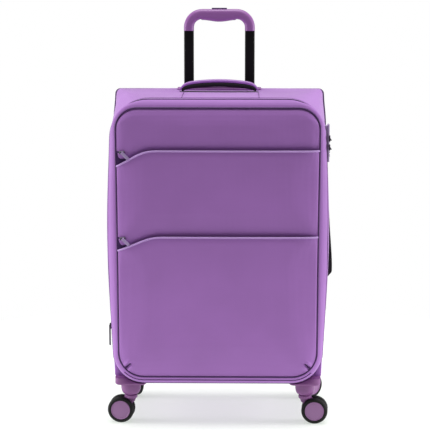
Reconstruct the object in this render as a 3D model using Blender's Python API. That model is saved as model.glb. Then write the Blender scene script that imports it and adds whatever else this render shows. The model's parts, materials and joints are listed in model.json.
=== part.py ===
"""Softside upright suitcase on four swivelling twin-wheel casters.

Metres, +Z up, and the front faces -Y. The origin is the middle of the whole
case's footprint, on the floor. Every piece hangs from one empty, the case,
whose mid plane lies a little to the left because the side handle stands out
on the right.
"""

from collections import namedtuple
from math import cos, pi, radians, sin

import bmesh
import bpy

# ---- overall sizes ----
CASE_X = -0.0075         # where the case's mid plane lies
CASE_TOP = 0.670         # floor to the top panel
WHEEL_RADIUS = 0.027
CROWN_LOW = 2 * WHEEL_RADIUS + 0.0035    # the fork's crown clears the wheels
CUP_LOW = CROWN_LOW + 0.006
BRACKET_LOW = CUP_LOW + 0.0215
CASE_FLOOR = BRACKET_LOW + 0.004         # floor to the underside of the case
TOP_WIDTH = 0.430        # outside width at the top panel
LOW_WIDTH = 0.419        # outside width at the base
SIDE_BULGE = 0.0105      # how far a soft side stands out at mid height
FRONT = -0.128           # the lid's front panel
BACK = 0.134             # the back panel's outer face
WALL = 0.005             # padded fabric over its board
GAP = 0.0003             # between pieces that touch
PLAY = 0.0008            # between pieces that slide past each other

# ---- depths ----
LID_DEPTH = 0.014
RING_DEPTH = 0.0216
BACK_PANEL = 0.005
SEAM = 0.0004            # between lid, ring and shell
LID_REAR = FRONT + LID_DEPTH
RING_FRONT = LID_REAR + SEAM
RING_REAR = RING_FRONT + RING_DEPTH
SHELL_FRONT = RING_REAR + SEAM
SHELL_REAR = BACK - BACK_PANEL - GAP

# ---- corner radii of the outline ----
FRONT_TOP_RADIUS = 0.055
FRONT_LOW_RADIUS = 0.062
BACK_RADIUS = 0.014
PIPING_TOP_RADIUS = 0.044
PIPING_LOW_RADIUS = 0.052
CORNER_STEPS = 5
SIDE_STEPS = 6

# ---- lid and pockets ----
LID_PLATE = 0.0025
LID_WALL = 0.004
POCKET_DEPTH = 0.009
POCKET_WALL = 0.0025
POCKET_MARGIN = 0.003    # from the piping to a pocket's edge
POCKET_ROUND = 0.006     # how far a pocket's face is set in from its edge
MOUTH_DROP = 0.012
MOUTH_BEND = 0.040       # length over which a mouth turns down
ZIP_LANE = 0.0085        # between a mouth and what lies above it
BADGE = (0.0495, 0.0014, 0.0137)
BADGE_FROM_EDGE = 0.0958   # from the top's right edge to the badge's middle
BADGE_DROP = 0.0238        # from the upper mouth to the badge's middle

# ---- expansion ----
SLEEVE_LENGTH = 0.048
SLEEVE_WALL = 0.0015
SLEEVE_LAP = 0.0035      # how far the sleeve reaches into the ring

# ---- trolley handle ----
TROLLEY_Y = 0.106
TUBE_SPACING = 0.128
INNER_TUBE = (0.0205, 0.012)
TUBE_WALL = 0.0015
TUBE_PLAY = 0.0003
GRIP_TOP = CASE_TOP + 0.168
GRIP_FOOT = GRIP_TOP - 0.0448
GRIP_DEPTH = 0.024
GRIP_RADIUS = 0.037
GRIP_HOLLOW_RADIUS = 0.020
GRIP_BAR = 0.0215
GRIP_WAVE = 0.0034
INNER_LENGTH = 0.500
BUTTON = (0.032, 0.012, 0.0066)
BUTTON_PROUD = 0.0026
WELL_DEPTH = 0.058
WELL_SIZE = (0.168, 0.0366)
WELL_WALL = 0.002
WELL_FLOOR = 0.004
WELL_FLANGE = 0.0042
FLANGE_THICK = 0.0025
FOOT_HEIGHT = 0.0172
LINING_FRONT = 0.083
LINING = 0.0025
BRIDGE_HEIGHT = 0.006

# ---- carry handles ----
HANDLE_LENGTH = 0.163
HANDLE_WIDTH = 0.030
HANDLE_THICK = 0.0125
TOP_HANDLE_Y = 0.050
TOP_HANDLE_RISE = 0.0247
SIDE_HANDLE_Y = 0.005
SIDE_HANDLE_Z = 0.360
SIDE_HANDLE_RISE = 0.0153
SIDE_HANDLE_THICK = 0.0080
HANDLE_END = 0.006
HANDLE_LIFT_OFF = 0.0022
TAB = (0.023, 0.034)

# ---- lock and zips ----
LOCK_Z = CASE_TOP - 0.0885
LOCK_LENGTH = 0.075
LOCK_PROUD = 0.0032      # the lock's face stands out from the side at its low end
LOCK_FLANGE = (0.0195, 0.004)
LOCK_BOX = (0.0115, 0.013)
DIAL_RADIUS = 0.0045
DIAL_WIDTH = 0.0050
DIAL_PITCH = 0.0075
DIAL_PROUD = 0.0012
KEY_RADIUS = 0.0042
RELEASE = (0.0030, 0.0070, 0.0080)
SLIDER_SET_BACK = 0.0019   # a main slider's foot, in from the lock's face
SLIDER = (0.011, 0.006)
POCKET_SLIDER_X = -0.190
POCKET_SLIDER_DROP = 0.0035   # from the level part of a mouth down to its slider
PULLER = (0.018, 0.006, 0.0016)
PULLER_TILT = 45            # degrees that a puller hangs down, towards the middle
SLIDER_ZS = {"upper": LOCK_Z + 0.0105, "lower": LOCK_Z - 0.0075}
EXPANSION_SLIDER_Z = 0.203
EXPANSION_SLIDER_OFF = 0.002

# ---- casters ----
WHEEL_WIDTH = 0.0115
WEB = 0.007
WHEEL_PLAY = 0.001       # between a wheel and the fork's web
AXLE_RADIUS = 0.003
TRAIL = 0.020
CASTER_X = 0.179
CASTER_Y = {"front": -0.086, "rear": 0.094}
TRAIL_ANGLE = {
    ("front", "left"): 175.0,
    ("front", "right"): -4.0,
    ("rear", "left"): 123.0,
    ("rear", "right"): 38.0,
}
CUP_RADIUS = 0.0195
STEM_RADIUS = 0.011
CROWN_RADIUS = 0.0165
BRACKET_INNER_X = 0.1457
BRACKET_OUTER_X = 0.2098
BRACKET_TOP = 0.104
BRACKET_LENGTH = 0.068
BRACKET_FRONT = -0.1175
WHEEL_SEGMENTS = 24

Section = namedtuple("Section", "y inset rise bulge top_radius low_radius")
Mouth = namedtuple("Mouth", "height start slope")

# A pocket's mouth is level from the right as far as its start.
MOUTHS = {
    "upper": Mouth(CASE_TOP - 0.1013, -0.125, 0.55),
    "lower": Mouth(0.3954, -0.113, 0.41),
}

LID_SECTIONS = (
    Section(FRONT, 0.0115, 0.0175, 0.001, PIPING_TOP_RADIUS, PIPING_LOW_RADIUS),
    Section(FRONT + 0.0025, 0.0065, 0.0095, 0.003, 0.048, 0.056),
    Section(FRONT + 0.0070, 0.0030, 0.0040, 0.006, 0.052, 0.060),
    Section(LID_REAR, 0.0010, 0.0015, 0.0085, FRONT_TOP_RADIUS, FRONT_LOW_RADIUS),
)
RING_SECTIONS = (
    Section(RING_FRONT, 0.0010, 0.0015, 0.0085, FRONT_TOP_RADIUS, FRONT_LOW_RADIUS),
    Section(RING_FRONT + 0.0106, 0.0, 0.0008, 0.0100, FRONT_TOP_RADIUS, FRONT_LOW_RADIUS),
    Section(RING_REAR, 0.0, 0.0005, SIDE_BULGE, FRONT_TOP_RADIUS, FRONT_LOW_RADIUS),
)
SHELL_SECTIONS = (
    Section(SHELL_FRONT, 0.0, 0.0, SIDE_BULGE, FRONT_TOP_RADIUS, BACK_RADIUS),
    Section(0.020, 0.0, 0.0, SIDE_BULGE, 0.035, BACK_RADIUS),
    Section(SHELL_REAR, 0.0, 0.0, 0.008, BACK_RADIUS, BACK_RADIUS),
)
SHELL_INNER_LOW_RADIUS = 0.056


# ---------------------------------------------------------------- helpers

def finish(name, hex_colour, roughness, metallic=0.0):
    """A plain Principled material."""
    material = bpy.data.materials.new(name)
    material.use_nodes = True
    shader = material.node_tree.nodes["Principled BSDF"]
    channels = [int(hex_colour[i:i + 2], 16) / 255 for i in (0, 2, 4)]
    shader.inputs["Base Color"].default_value = [c ** 2.2 for c in channels] + [1.0]
    shader.inputs["Roughness"].default_value = roughness
    shader.inputs["Metallic"].default_value = metallic
    return material


def empty(name, location, parent=None, turn=0.0):
    """An empty that stands on a joint's axis."""
    anchor = bpy.data.objects.new(name, None)
    anchor.location = location
    anchor.rotation_euler.z = turn
    anchor.parent = parent
    bpy.context.collection.objects.link(anchor)
    return anchor


def solid(name, bm, material, parent, location=(0, 0, 0), smooth=None):
    """Makes an object of a closed bmesh, with its faces turned outwards."""
    bmesh.ops.remove_doubles(bm, verts=bm.verts, dist=1e-6)
    bmesh.ops.recalc_face_normals(bm, faces=bm.faces)
    mesh = bpy.data.meshes.new(name)
    bm.to_mesh(mesh)
    bm.free()
    if smooth is not None:
        mesh.shade_smooth()
        mesh.set_sharp_from_angle(angle=radians(smooth))
    piece = bpy.data.objects.new(name, mesh)
    piece.location = location
    piece.parent = parent
    if material:
        mesh.materials.append(material)
    bpy.context.collection.objects.link(piece)
    return piece


def combine(piece, other, operation):
    """Cuts or joins another closed object, which is then only a guide."""
    modifier = piece.modifiers.new(other.name, "BOOLEAN")
    modifier.operation = operation
    modifier.object = other
    other.hide_render = True
    other.display_type = "WIRE"


def block(low, high, bevel=0.0, segments=1):
    """A box between two corners, with its edges bevelled."""
    bm = bmesh.new()
    bmesh.ops.create_cube(bm, size=1.0)
    for vert in bm.verts:
        for axis in range(3):
            middle = (low[axis] + high[axis]) / 2
            vert.co[axis] = middle + vert.co[axis] * (high[axis] - low[axis])
    if bevel:
        bmesh.ops.bevel(bm, geom=bm.edges[:], offset=bevel, segments=segments,
                        profile=0.5, affect="EDGES")
    return bm


def rounded_block(low, high, radius, steps=3):
    """A box whose upright edges are rounded."""
    bm = block(low, high)
    upright = [e for e in bm.edges if abs(e.verts[0].co.z - e.verts[1].co.z) > 1e-6]
    bmesh.ops.bevel(bm, geom=upright, offset=radius, segments=steps,
                    profile=0.5, affect="EDGES")
    return bm


def plate(points, y_low, y_high, bevel=0.0):
    """An outline of (x, z) points, extruded along Y."""
    bm = bmesh.new()
    face = bm.faces.new([bm.verts.new((x, y_low, z)) for x, z in points])
    grown = bmesh.ops.extrude_face_region(bm, geom=[face])
    moved = [v for v in grown["geom"] if isinstance(v, bmesh.types.BMVert)]
    bmesh.ops.translate(bm, verts=moved, vec=(0, y_high - y_low, 0))
    if bevel:
        rims = [e for e in bm.edges if abs(e.verts[0].co.y - e.verts[1].co.y) < 1e-6]
        bmesh.ops.bevel(bm, geom=rims, offset=bevel, segments=1,
                        profile=0.5, affect="EDGES")
    return bm


def turned(profile, segments, closed=False):
    """A profile of (radius, height) points, turned about Z."""
    bm = bmesh.new()
    verts = [bm.verts.new((radius, 0, height)) for radius, height in profile]
    edges = [bm.edges.new(pair) for pair in zip(verts, verts[1:])]
    if closed:
        edges.append(bm.edges.new((verts[-1], verts[0])))
    bmesh.ops.spin(bm, geom=verts + edges, cent=(0, 0, 0), axis=(0, 0, 1),
                   angle=2 * pi, steps=segments, use_merge=True)
    return bm


def add_loop(bm, points):
    return [bm.verts.new(point) for point in points]


def skin(bm, first, second):
    """Quads between two loops of as many points."""
    for i in range(len(first)):
        j = (i + 1) % len(first)
        bm.faces.new((first[i], first[j], second[j], second[i]))


def loft(outer, inner):
    """A tube wall between outer and inner loops, open at both ends."""
    bm = bmesh.new()
    outside = [add_loop(bm, points) for points in outer]
    inside = [add_loop(bm, points) for points in inner]
    for loops in (outside, inside):
        for first, second in zip(loops, loops[1:]):
            skin(bm, first, second)
    skin(bm, outside[0], inside[0])
    skin(bm, outside[-1], inside[-1])
    return bm


def tray(outer, inner):
    """A closed front and walls: the first loops are capped, the last are joined."""
    bm = bmesh.new()
    outside = [add_loop(bm, points) for points in outer]
    inside = [add_loop(bm, points) for points in inner]
    for loops in (outside, inside):
        for first, second in zip(loops, loops[1:]):
            skin(bm, first, second)
        bm.faces.new(loops[0])
    skin(bm, outside[-1], inside[-1])
    return bm


def arc(centre_x, centre_z, radius, start, end, steps):
    """Points of an arc, angles in degrees."""
    angles = [radians(start + (end - start) * i / steps) for i in range(steps + 1)]
    return [(centre_x + radius * cos(a), centre_z + radius * sin(a)) for a in angles]


def rounded_rectangle(half, low, high, top_radius, low_radius, side_steps=0):
    """Anticlockwise (x, z) points, from the lower right corner."""
    top, bottom = high - top_radius, low + low_radius
    sides = [bottom + (top - bottom) * i / (side_steps + 1) for i in range(1, side_steps + 1)]
    return (
        arc(half - low_radius, bottom, low_radius, -90, 0, CORNER_STEPS)
        + [(half, z) for z in sides]
        + arc(half - top_radius, top, top_radius, 0, 90, CORNER_STEPS)
        + arc(top_radius - half, top, top_radius, 90, 180, CORNER_STEPS)
        + [(-half, z) for z in reversed(sides)]
        + arc(low_radius - half, bottom, low_radius, 180, 270, CORNER_STEPS)
    )


def half_width(z, bulge=SIDE_BULGE):
    """Half the outside width of the case at a height."""
    share = min(1.0, max(0.0, (z - CASE_FLOOR) / (CASE_TOP - CASE_FLOOR)))
    straight = LOW_WIDTH / 2 + (TOP_WIDTH - LOW_WIDTH) / 2 * share
    return straight + bulge * max(0.0, sin(pi * share)) ** 1.5


def outline(section, wall=0.0, y=None, low_radius=None):
    """The case's outline at one depth, moved inwards by a wall."""
    half = TOP_WIDTH / 2 - section.inset - wall
    points = rounded_rectangle(
        half,
        CASE_FLOOR + section.rise + wall,
        CASE_TOP - section.rise - wall,
        section.top_radius - wall,
        (low_radius or section.low_radius) - wall,
        SIDE_STEPS,
    )
    depth = section.y if y is None else y
    return [
        (x * (half_width(z, section.bulge) - section.inset - wall) / half, depth, z)
        for x, z in points
    ]


def tube(name, size, wall, low, high, centre_x, material, parent):
    """A flat rectangular tube that stands upright round the trolley's line."""
    def loop(inset, z):
        x, y = size[0] / 2 - inset, size[1] / 2 - inset
        corners = ((x, y), (-x, y), (-x, -y), (x, -y))
        return [(centre_x + dx, TROLLEY_Y + dy, z) for dx, dy in corners]
    walls = loft([loop(0, low), loop(0, high)], [loop(wall, low), loop(wall, high)])
    return solid(name, walls, material, parent)


# ---------------------------------------------------------------- finishes

def make_finishes():
    return {
        "fabric": finish("purple_woven_fabric", "8A5F9F", 0.85),
        "trim": finish("purple_moulded_plastic", "8A5D94", 0.45),
        "lining": finish("grey_lining_fabric", "5A5560", 0.9),
        "board": finish("grey_back_board", "77727C", 0.8),
        "tube": finish("black_enamelled_tube", "141414", 0.4, 0.6),
        "black": finish("black_moulded_plastic", "1B1A1C", 0.5),
        "webbing": finish("black_padded_webbing", "171218", 0.9),
        "metal": finish("gunmetal_zip", "55505A", 0.35, 0.9),
        "badge": finish("brushed_badge", "9C88A8", 0.3, 0.9),
        "steel": finish("steel_pin", "B5B5B8", 0.3, 1.0),
        "tyre": finish("black_tyre", "161516", 0.7),
    }


# ---------------------------------------------------------------- the case

def make_shell(case, looks):
    """The main shell's four walls, square at the back and round at the front."""
    outer = [outline(s) for s in SHELL_SECTIONS]
    inner = [outline(s, WALL, low_radius=SHELL_INNER_LOW_RADIUS) for s in SHELL_SECTIONS]
    shell = solid("rear_shell", loft(outer, inner), looks["fabric"], case)
    hole = (WELL_SIZE[0] / 2 + GAP, WELL_SIZE[1] / 2 + GAP)
    cutter = solid(
        "well_hole",
        block((-hole[0], TROLLEY_Y - hole[1], CASE_TOP - 0.03),
              (hole[0], TROLLEY_Y + hole[1], CASE_TOP + 0.03)),
        None, case)
    combine(shell, cutter, "DIFFERENCE")

    back = [(x, z) for x, _, z in outline(SHELL_SECTIONS[-1])]
    solid("back_panel", plate(back, BACK - BACK_PANEL, BACK), looks["fabric"], case)

    board_section = Section(LINING_FRONT, 0.0, 0.0, 0.0, 0.045, 0.055)
    board = [(x, z) for x, _, z in outline(board_section, WALL + 0.004)]
    solid("lining_panel", plate(board, LINING_FRONT, LINING_FRONT + LINING),
          looks["lining"], case)


def make_lid(case, looks):
    """The lid is a shallow tray that carries both pockets and the badge."""
    outer = [outline(s) for s in LID_SECTIONS]
    front, rear = LID_SECTIONS[1], LID_SECTIONS[-1]
    inner = [outline(front, LID_WALL, y=FRONT + LID_PLATE), outline(rear, LID_WALL)]
    solid("lid_panel", tray(outer, inner), looks["fabric"], case)
    make_pocket("lower", None, case, looks)
    make_pocket("upper", MOUTHS["lower"], case, looks)

    half_x, thick, height = BADGE[0] / 2, BADGE[1], BADGE[2] / 2
    x, z = TOP_WIDTH / 2 - BADGE_FROM_EDGE, MOUTHS["upper"].height - BADGE_DROP
    cut = 0.003
    shape = [(x - half_x, z - height), (x + half_x - cut, z - height),
             (x + half_x, z + cut), (x + half_x - cut, z + height), (x - half_x, z + height)]
    face = FRONT - POCKET_DEPTH - GAP
    solid("badge", plate(shape, face - thick, face), looks["badge"], case)


def mouth_height(x, height, mouth):
    """The height of a pocket's mouth, which turns down towards the left."""
    past = max(0.0, mouth.start - x)
    if past < MOUTH_BEND:
        return height - mouth.slope * past ** 2 / (2 * MOUTH_BEND)
    return height - mouth.slope * (past - MOUTH_BEND / 2)


def pocket_outline(inset, mouth, below):
    """The pocket's edge, inside the piping, from the lower right corner round."""
    piping = LID_SECTIONS[0]
    low = CASE_FLOOR + piping.rise + POCKET_MARGIN + inset
    radius = PIPING_LOW_RADIUS - POCKET_MARGIN - inset
    half = LOW_WIDTH / 2 - piping.inset - POCKET_MARGIN - inset
    xs = [half - (2 * half) * i / 16 for i in range(17)]
    rim = [(x, mouth_height(x, mouth.height - inset, mouth)) for x in xs]
    if below is None:
        right = arc(half - radius, low + radius, radius, -90, 0, CORNER_STEPS)
        left = arc(radius - half, low + radius, radius, 180, 270, CORNER_STEPS)
        return right + rim + left
    floor = below.height + ZIP_LANE + inset
    return rim + [(x, floor) for x in reversed(xs)]


def make_pocket(name, below, case, looks):
    """A flat pouch on the lid, open along the level part of its mouth."""
    mouth = MOUTHS[name]

    def loop(inset, y):
        return [(x, y, z) for x, z in pocket_outline(inset, mouth, below)]
    base, face = FRONT - GAP, FRONT - POCKET_DEPTH
    outer = [loop(POCKET_ROUND, face), loop(POCKET_ROUND / 3, face + 0.003), loop(0, base)]
    inner = [loop(POCKET_ROUND, face + POCKET_WALL), loop(POCKET_WALL, base)]
    pocket = solid(f"pocket_{name}", tray(outer, inner), looks["fabric"], case)
    opening = block((mouth.start + 0.012, face + POCKET_WALL, mouth.height - MOUTH_DROP),
                    (0.190, base + 0.001, mouth.height + 0.005))
    cutter = solid(f"pocket_{name}_mouth", opening, None, case)
    combine(pocket, cutter, "DIFFERENCE")


def make_expansion(case, looks):
    """The ring between lid and shell, and the gusset sleeve folded behind it."""
    outer = [outline(s) for s in RING_SECTIONS]
    inner = [outline(s, WALL) for s in RING_SECTIONS]
    ring = solid("expansion_ring", loft(outer, inner), looks["fabric"], case)
    middle, face = lock_y(), lock_face()
    seats = {
        "lock_window": (face - 0.027, LOCK_BOX[1] / 2 + GAP, LOCK_LENGTH / 2 - 0.003 + GAP),
        "lock_recess": (face - LOCK_FLANGE[1] - GAP, LOCK_FLANGE[0] / 2 + GAP,
                        LOCK_LENGTH / 2 + GAP),
    }
    for name, (depth, wide, tall) in seats.items():
        cutter = solid(
            name,
            block((depth, middle - wide, LOCK_Z - tall),
                  (face + 0.013, middle + wide, LOCK_Z + tall)),
            None, case)
        combine(ring, cutter, "DIFFERENCE")

    rear = RING_SECTIONS[-1]
    start = RING_REAR - SLEEVE_LAP
    ends = (start, start + SLEEVE_LENGTH)
    outside = [outline(rear, WALL + PLAY, y=y) for y in ends]
    inside = [outline(rear, WALL + PLAY + SLEEVE_WALL, y=y) for y in ends]
    solid("expansion_sleeve", loft(outside, inside), looks["lining"], case)


# ---------------------------------------------------------------- trolley handle

def grown(size, amount):
    return (size[0] + 2 * amount, size[1] + 2 * amount)


def make_trolley(case, looks):
    middle_size = grown(INNER_TUBE, TUBE_PLAY + TUBE_WALL)
    outer_size = grown(middle_size, TUBE_PLAY + TUBE_WALL)
    well_low = CASE_TOP - WELL_DEPTH
    foot_low = CASE_FLOOR + WALL + 0.0005
    foot_top = foot_low + FOOT_HEIGHT
    stage = empty("trolley_stage", (0, 0, 0), case)
    handle = empty("trolley_handle", (0, 0, 0), case)

    span = TUBE_SPACING / 2 + outer_size[0] / 2 + 0.008
    depth = outer_size[1] / 2 + 0.004
    foot = block((-span, TROLLEY_Y - depth, foot_low), (span, TROLLEY_Y + depth, foot_top), 0.002)
    solid("trolley_foot", foot, looks["black"], case)

    bridge_low = well_low + WELL_FLOOR + 0.0005
    bridge_top = bridge_low + BRIDGE_HEIGHT
    for side, sign in (("left", -1), ("right", 1)):
        x = sign * TUBE_SPACING / 2
        tube(f"outer_tube_{side}", outer_size, TUBE_WALL, foot_top + GAP, well_low - 0.0005,
             x, looks["tube"], case)
        tube(f"middle_tube_{side}", middle_size, TUBE_WALL, foot_top + 0.004, bridge_top,
             x, looks["tube"], stage)
        tube(f"inner_tube_{side}", INNER_TUBE, TUBE_WALL, GRIP_FOOT - INNER_LENGTH,
             GRIP_FOOT - GAP, x, looks["tube"], handle)
    make_well(well_low, middle_size, case, looks)
    make_bridge(bridge_low, bridge_top, middle_size, stage, looks)
    make_grip(handle, looks)


def make_well(well_low, middle_size, case, looks):
    """The moulded well in the top that the grip sinks into."""
    half = (WELL_SIZE[0] / 2, WELL_SIZE[1] / 2)
    flange = (half[0] + WELL_FLANGE, half[1] + WELL_FLANGE)
    top = CASE_TOP + GAP + FLANGE_THICK
    well = solid(
        "handle_well",
        rounded_block((-half[0], TROLLEY_Y - half[1], well_low),
                      (half[0], TROLLEY_Y + half[1], top - 0.001), 0.004, 2),
        looks["trim"], case)
    rim = solid(
        "well_rim",
        rounded_block((-flange[0], TROLLEY_Y - flange[1], CASE_TOP + GAP),
                      (flange[0], TROLLEY_Y + flange[1], top), 0.006, 2),
        None, case)
    combine(well, rim, "UNION")
    hollow = solid(
        "well_hollow",
        block((WELL_WALL - half[0], TROLLEY_Y - half[1] + WELL_WALL, well_low + WELL_FLOOR),
              (half[0] - WELL_WALL, TROLLEY_Y + half[1] - WELL_WALL, top + 0.01)),
        None, case)
    combine(well, hollow, "DIFFERENCE")
    for side, sign in (("left", -1), ("right", 1)):
        x = sign * TUBE_SPACING / 2
        hole = (middle_size[0] / 2 + 0.0004, middle_size[1] / 2 + 0.0004)
        cutter = solid(
            f"well_tube_hole_{side}",
            block((x - hole[0], TROLLEY_Y - hole[1], well_low - 0.01),
                  (x + hole[0], TROLLEY_Y + hole[1], well_low + 0.01)),
            None, case)
        combine(well, cutter, "DIFFERENCE")


def make_bridge(low, top, middle_size, stage, looks):
    """The bar that joins the two middle tubes, with a collar round each."""
    collar = (middle_size[0] / 2 + 0.0035, middle_size[1] / 2 + 0.0035)
    reach = TUBE_SPACING / 2 + collar[0]
    bridge = solid(
        "middle_bridge",
        block((-reach, TROLLEY_Y - collar[1], low), (reach, TROLLEY_Y + collar[1], top), 0.001),
        looks["black"], stage)
    for side, sign in (("left", -1), ("right", 1)):
        x = sign * TUBE_SPACING / 2
        hole = (middle_size[0] / 2 + GAP, middle_size[1] / 2 + GAP)
        cutter = solid(
            f"bridge_hole_{side}",
            block((x - hole[0], TROLLEY_Y - hole[1], low - 0.005),
                  (x + hole[0], TROLLEY_Y + hole[1], top + 0.005)),
            None, stage)
        combine(bridge, cutter, "DIFFERENCE")


def make_grip(handle, looks):
    """The arched grip with its finger swell, and the push button in its top."""
    half = TUBE_SPACING / 2 + INNER_TUBE[0] / 2 + 0.0002
    hollow = TUBE_SPACING / 2 - INNER_TUBE[0] / 2 - 0.0002
    under = GRIP_TOP - GRIP_BAR
    outer = arc(half - GRIP_RADIUS, GRIP_TOP - GRIP_RADIUS, GRIP_RADIUS, 0, 90, 6)
    outer += arc(GRIP_RADIUS - half, GRIP_TOP - GRIP_RADIUS, GRIP_RADIUS, 90, 180, 6)
    inner_left = arc(GRIP_HOLLOW_RADIUS - hollow, under - GRIP_HOLLOW_RADIUS,
                     GRIP_HOLLOW_RADIUS, 180, 90, 4)
    flat = hollow - GRIP_HOLLOW_RADIUS
    wave = []
    for i in range(1, 8):
        x = -flat + 2 * flat * i / 8
        wave.append((x, under - GRIP_WAVE * cos(pi * x / (2 * flat)) ** 2))
    inner_right = [(-x, z) for x, z in reversed(inner_left)]
    shape = ([(half, GRIP_FOOT)] + outer + [(-half, GRIP_FOOT), (-hollow, GRIP_FOOT)]
             + inner_left + wave + inner_right + [(hollow, GRIP_FOOT)])
    grip = solid(
        "trolley_grip",
        plate(shape, TROLLEY_Y - GRIP_DEPTH / 2, TROLLEY_Y + GRIP_DEPTH / 2, 0.002),
        looks["trim"], handle, smooth=30)
    x, y, height = BUTTON[0] / 2, BUTTON[1] / 2, BUTTON[2]
    low = GRIP_TOP + BUTTON_PROUD - height
    pocket = solid(
        "button_pocket",
        block((-x - GAP, TROLLEY_Y - y - GAP, low - 0.003),
              (x + GAP, TROLLEY_Y + y + GAP, GRIP_TOP + 0.01)),
        None, handle)
    combine(grip, pocket, "DIFFERENCE")
    button = empty("button_anchor", (0, TROLLEY_Y, low), handle)
    solid("grip_button", block((-x, -y, 0), (x, y, height), 0.001), looks["black"], button)


# ---------------------------------------------------------------- carry handles

def handle_shape(rise, thick):
    """An arch of (along, up) points, its flat ends above their tabs."""
    half = HANDLE_LENGTH / 2
    steps = 12
    xs = [half - 2 * half * i / steps for i in range(steps + 1)]
    top = [(x, HANDLE_END + (rise - HANDLE_END) * (1 - abs(x / half) ** 2.4)) for x in xs]
    reach = 0.86 * half
    under_xs = [-reach + 2 * reach * i / steps for i in range(steps + 1)]
    lift = rise - thick - HANDLE_LIFT_OFF
    under = [(x, HANDLE_LIFT_OFF + lift * (1 - (x / reach) ** 2)) for x in under_xs]
    return top + [(-half, HANDLE_LIFT_OFF)] + under + [(half, HANDLE_LIFT_OFF)]


def make_handles(case, looks):
    width = HANDLE_WIDTH / 2
    at = HANDLE_LENGTH / 2 - TAB[0] / 2 + 0.006
    top = empty("top_handle_anchor", (0, TOP_HANDLE_Y, CASE_TOP), case)
    shape = plate(handle_shape(TOP_HANDLE_RISE, HANDLE_THICK), -width, width, 0.002)
    solid("top_handle", shape, looks["webbing"], top)
    for side, sign in (("left", -1), ("right", 1)):
        tab = block((sign * at - TAB[0] / 2, TOP_HANDLE_Y - TAB[1] / 2, CASE_TOP + GAP),
                    (sign * at + TAB[0] / 2, TOP_HANDLE_Y + TAB[1] / 2,
                     CASE_TOP + HANDLE_LIFT_OFF - GAP))
        solid(f"top_handle_tab_{side}", tab, looks["fabric"], case)

    y, z = SIDE_HANDLE_Y, SIDE_HANDLE_Z
    x = max(half_width(z + share * HANDLE_LENGTH / 2) for share in (-1, -0.5, 0, 0.5, 1))
    side_anchor = empty("side_handle_anchor", (x, y, z), case)
    shape = plate(handle_shape(SIDE_HANDLE_RISE, SIDE_HANDLE_THICK), -width, width, 0.002)
    handle = solid("side_handle", shape, looks["webbing"], side_anchor)
    handle.rotation_euler.y = radians(90)
    for name, sign in (("upper", 1), ("lower", -1)):
        heights = [z + sign * at - TAB[0] / 2, z + sign * at + TAB[0] / 2]
        base = max(half_width(height) for height in heights) + GAP
        tab = block((base, y - TAB[1] / 2, heights[0]),
                    (x + HANDLE_LIFT_OFF - GAP, y + TAB[1] / 2, heights[1]))
        solid(f"side_handle_tab_{name}", tab, looks["fabric"], case)


# ---------------------------------------------------------------- lock and zips

def lock_y():
    return (RING_FRONT + RING_REAR) / 2


def lock_face():
    return half_width(LOCK_Z - LOCK_LENGTH / 2) + LOCK_PROUD


def make_lock(case, looks):
    """The lock plate, its three dials, its release button and its key cylinder."""
    y, face = lock_y(), lock_face()
    half = LOCK_LENGTH / 2
    plate_low = face - LOCK_FLANGE[1]
    box_low = face - LOCK_BOX[0]
    body = solid(
        "lock_body",
        block((plate_low, y - LOCK_FLANGE[0] / 2, LOCK_Z - half),
              (face, y + LOCK_FLANGE[0] / 2, LOCK_Z + half), 0.0008),
        looks["metal"], case)
    box = solid(
        "lock_box",
        block((box_low, y - LOCK_BOX[1] / 2, LOCK_Z - half + 0.003),
              (plate_low + 0.001, y + LOCK_BOX[1] / 2, LOCK_Z + half - 0.003)),
        None, case)
    combine(body, box, "UNION")

    dial_x = face + DIAL_PROUD - DIAL_RADIUS
    for i in range(3):
        z = LOCK_Z - half + 0.012 + DIAL_PITCH * i
        room = DIAL_RADIUS + 0.0006
        wide = DIAL_WIDTH / 2 + GAP
        slot = solid(
            f"dial_slot_{i + 1}",
            block((dial_x - room, y - room, z - wide), (face + 0.01, y + room, z + wide)),
            None, case)
        combine(body, slot, "DIFFERENCE")
        anchor = empty(f"dial_anchor_{i + 1}", (dial_x, y, z), case)
        dial = turned([(0, -DIAL_WIDTH / 2), (DIAL_RADIUS, -DIAL_WIDTH / 2),
                       (DIAL_RADIUS, DIAL_WIDTH / 2), (0, DIAL_WIDTH / 2)], 10)
        solid(f"lock_dial_{i + 1}", dial, looks["black"], anchor)

    low, wide, tall = RELEASE
    z = LOCK_Z + half - 0.032
    slot = solid(
        "release_slot",
        block((face - 0.006, y - wide / 2 - GAP, z - tall / 2 - GAP),
              (face + 0.01, y + wide / 2 + GAP, z + tall / 2 + GAP)),
        None, case)
    combine(body, slot, "DIFFERENCE")
    anchor = empty("release_anchor", (face, y, z), case)
    solid("lock_release", block((-low, -wide / 2, -tall / 2), (0.0012, wide / 2, tall / 2)),
          looks["black"], anchor)

    z = LOCK_Z + half - 0.010
    hole = turned([(0, 0), (KEY_RADIUS + GAP, 0), (KEY_RADIUS + GAP, 0.02), (0, 0.02)], 16)
    cutter = solid("key_hole", hole, None, case, (face - 0.006, y, z))
    cutter.rotation_euler.y = radians(90)
    combine(body, cutter, "DIFFERENCE")
    anchor = empty("key_anchor", (face, y, z), case)
    core = turned([(0, -0.0055), (KEY_RADIUS, -0.0055), (KEY_RADIUS, 0.0002), (0, 0.0002)], 16)
    cylinder = solid("lock_cylinder", core, looks["steel"], anchor)
    cylinder.rotation_euler.y = radians(90)
    keyway = solid("keyway", block((0.0, -0.0005, -0.0025), (0.01, 0.0005, 0.0025)), None, anchor,
                   (-0.003, 0, 0))
    combine(cylinder, keyway, "DIFFERENCE")


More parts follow.
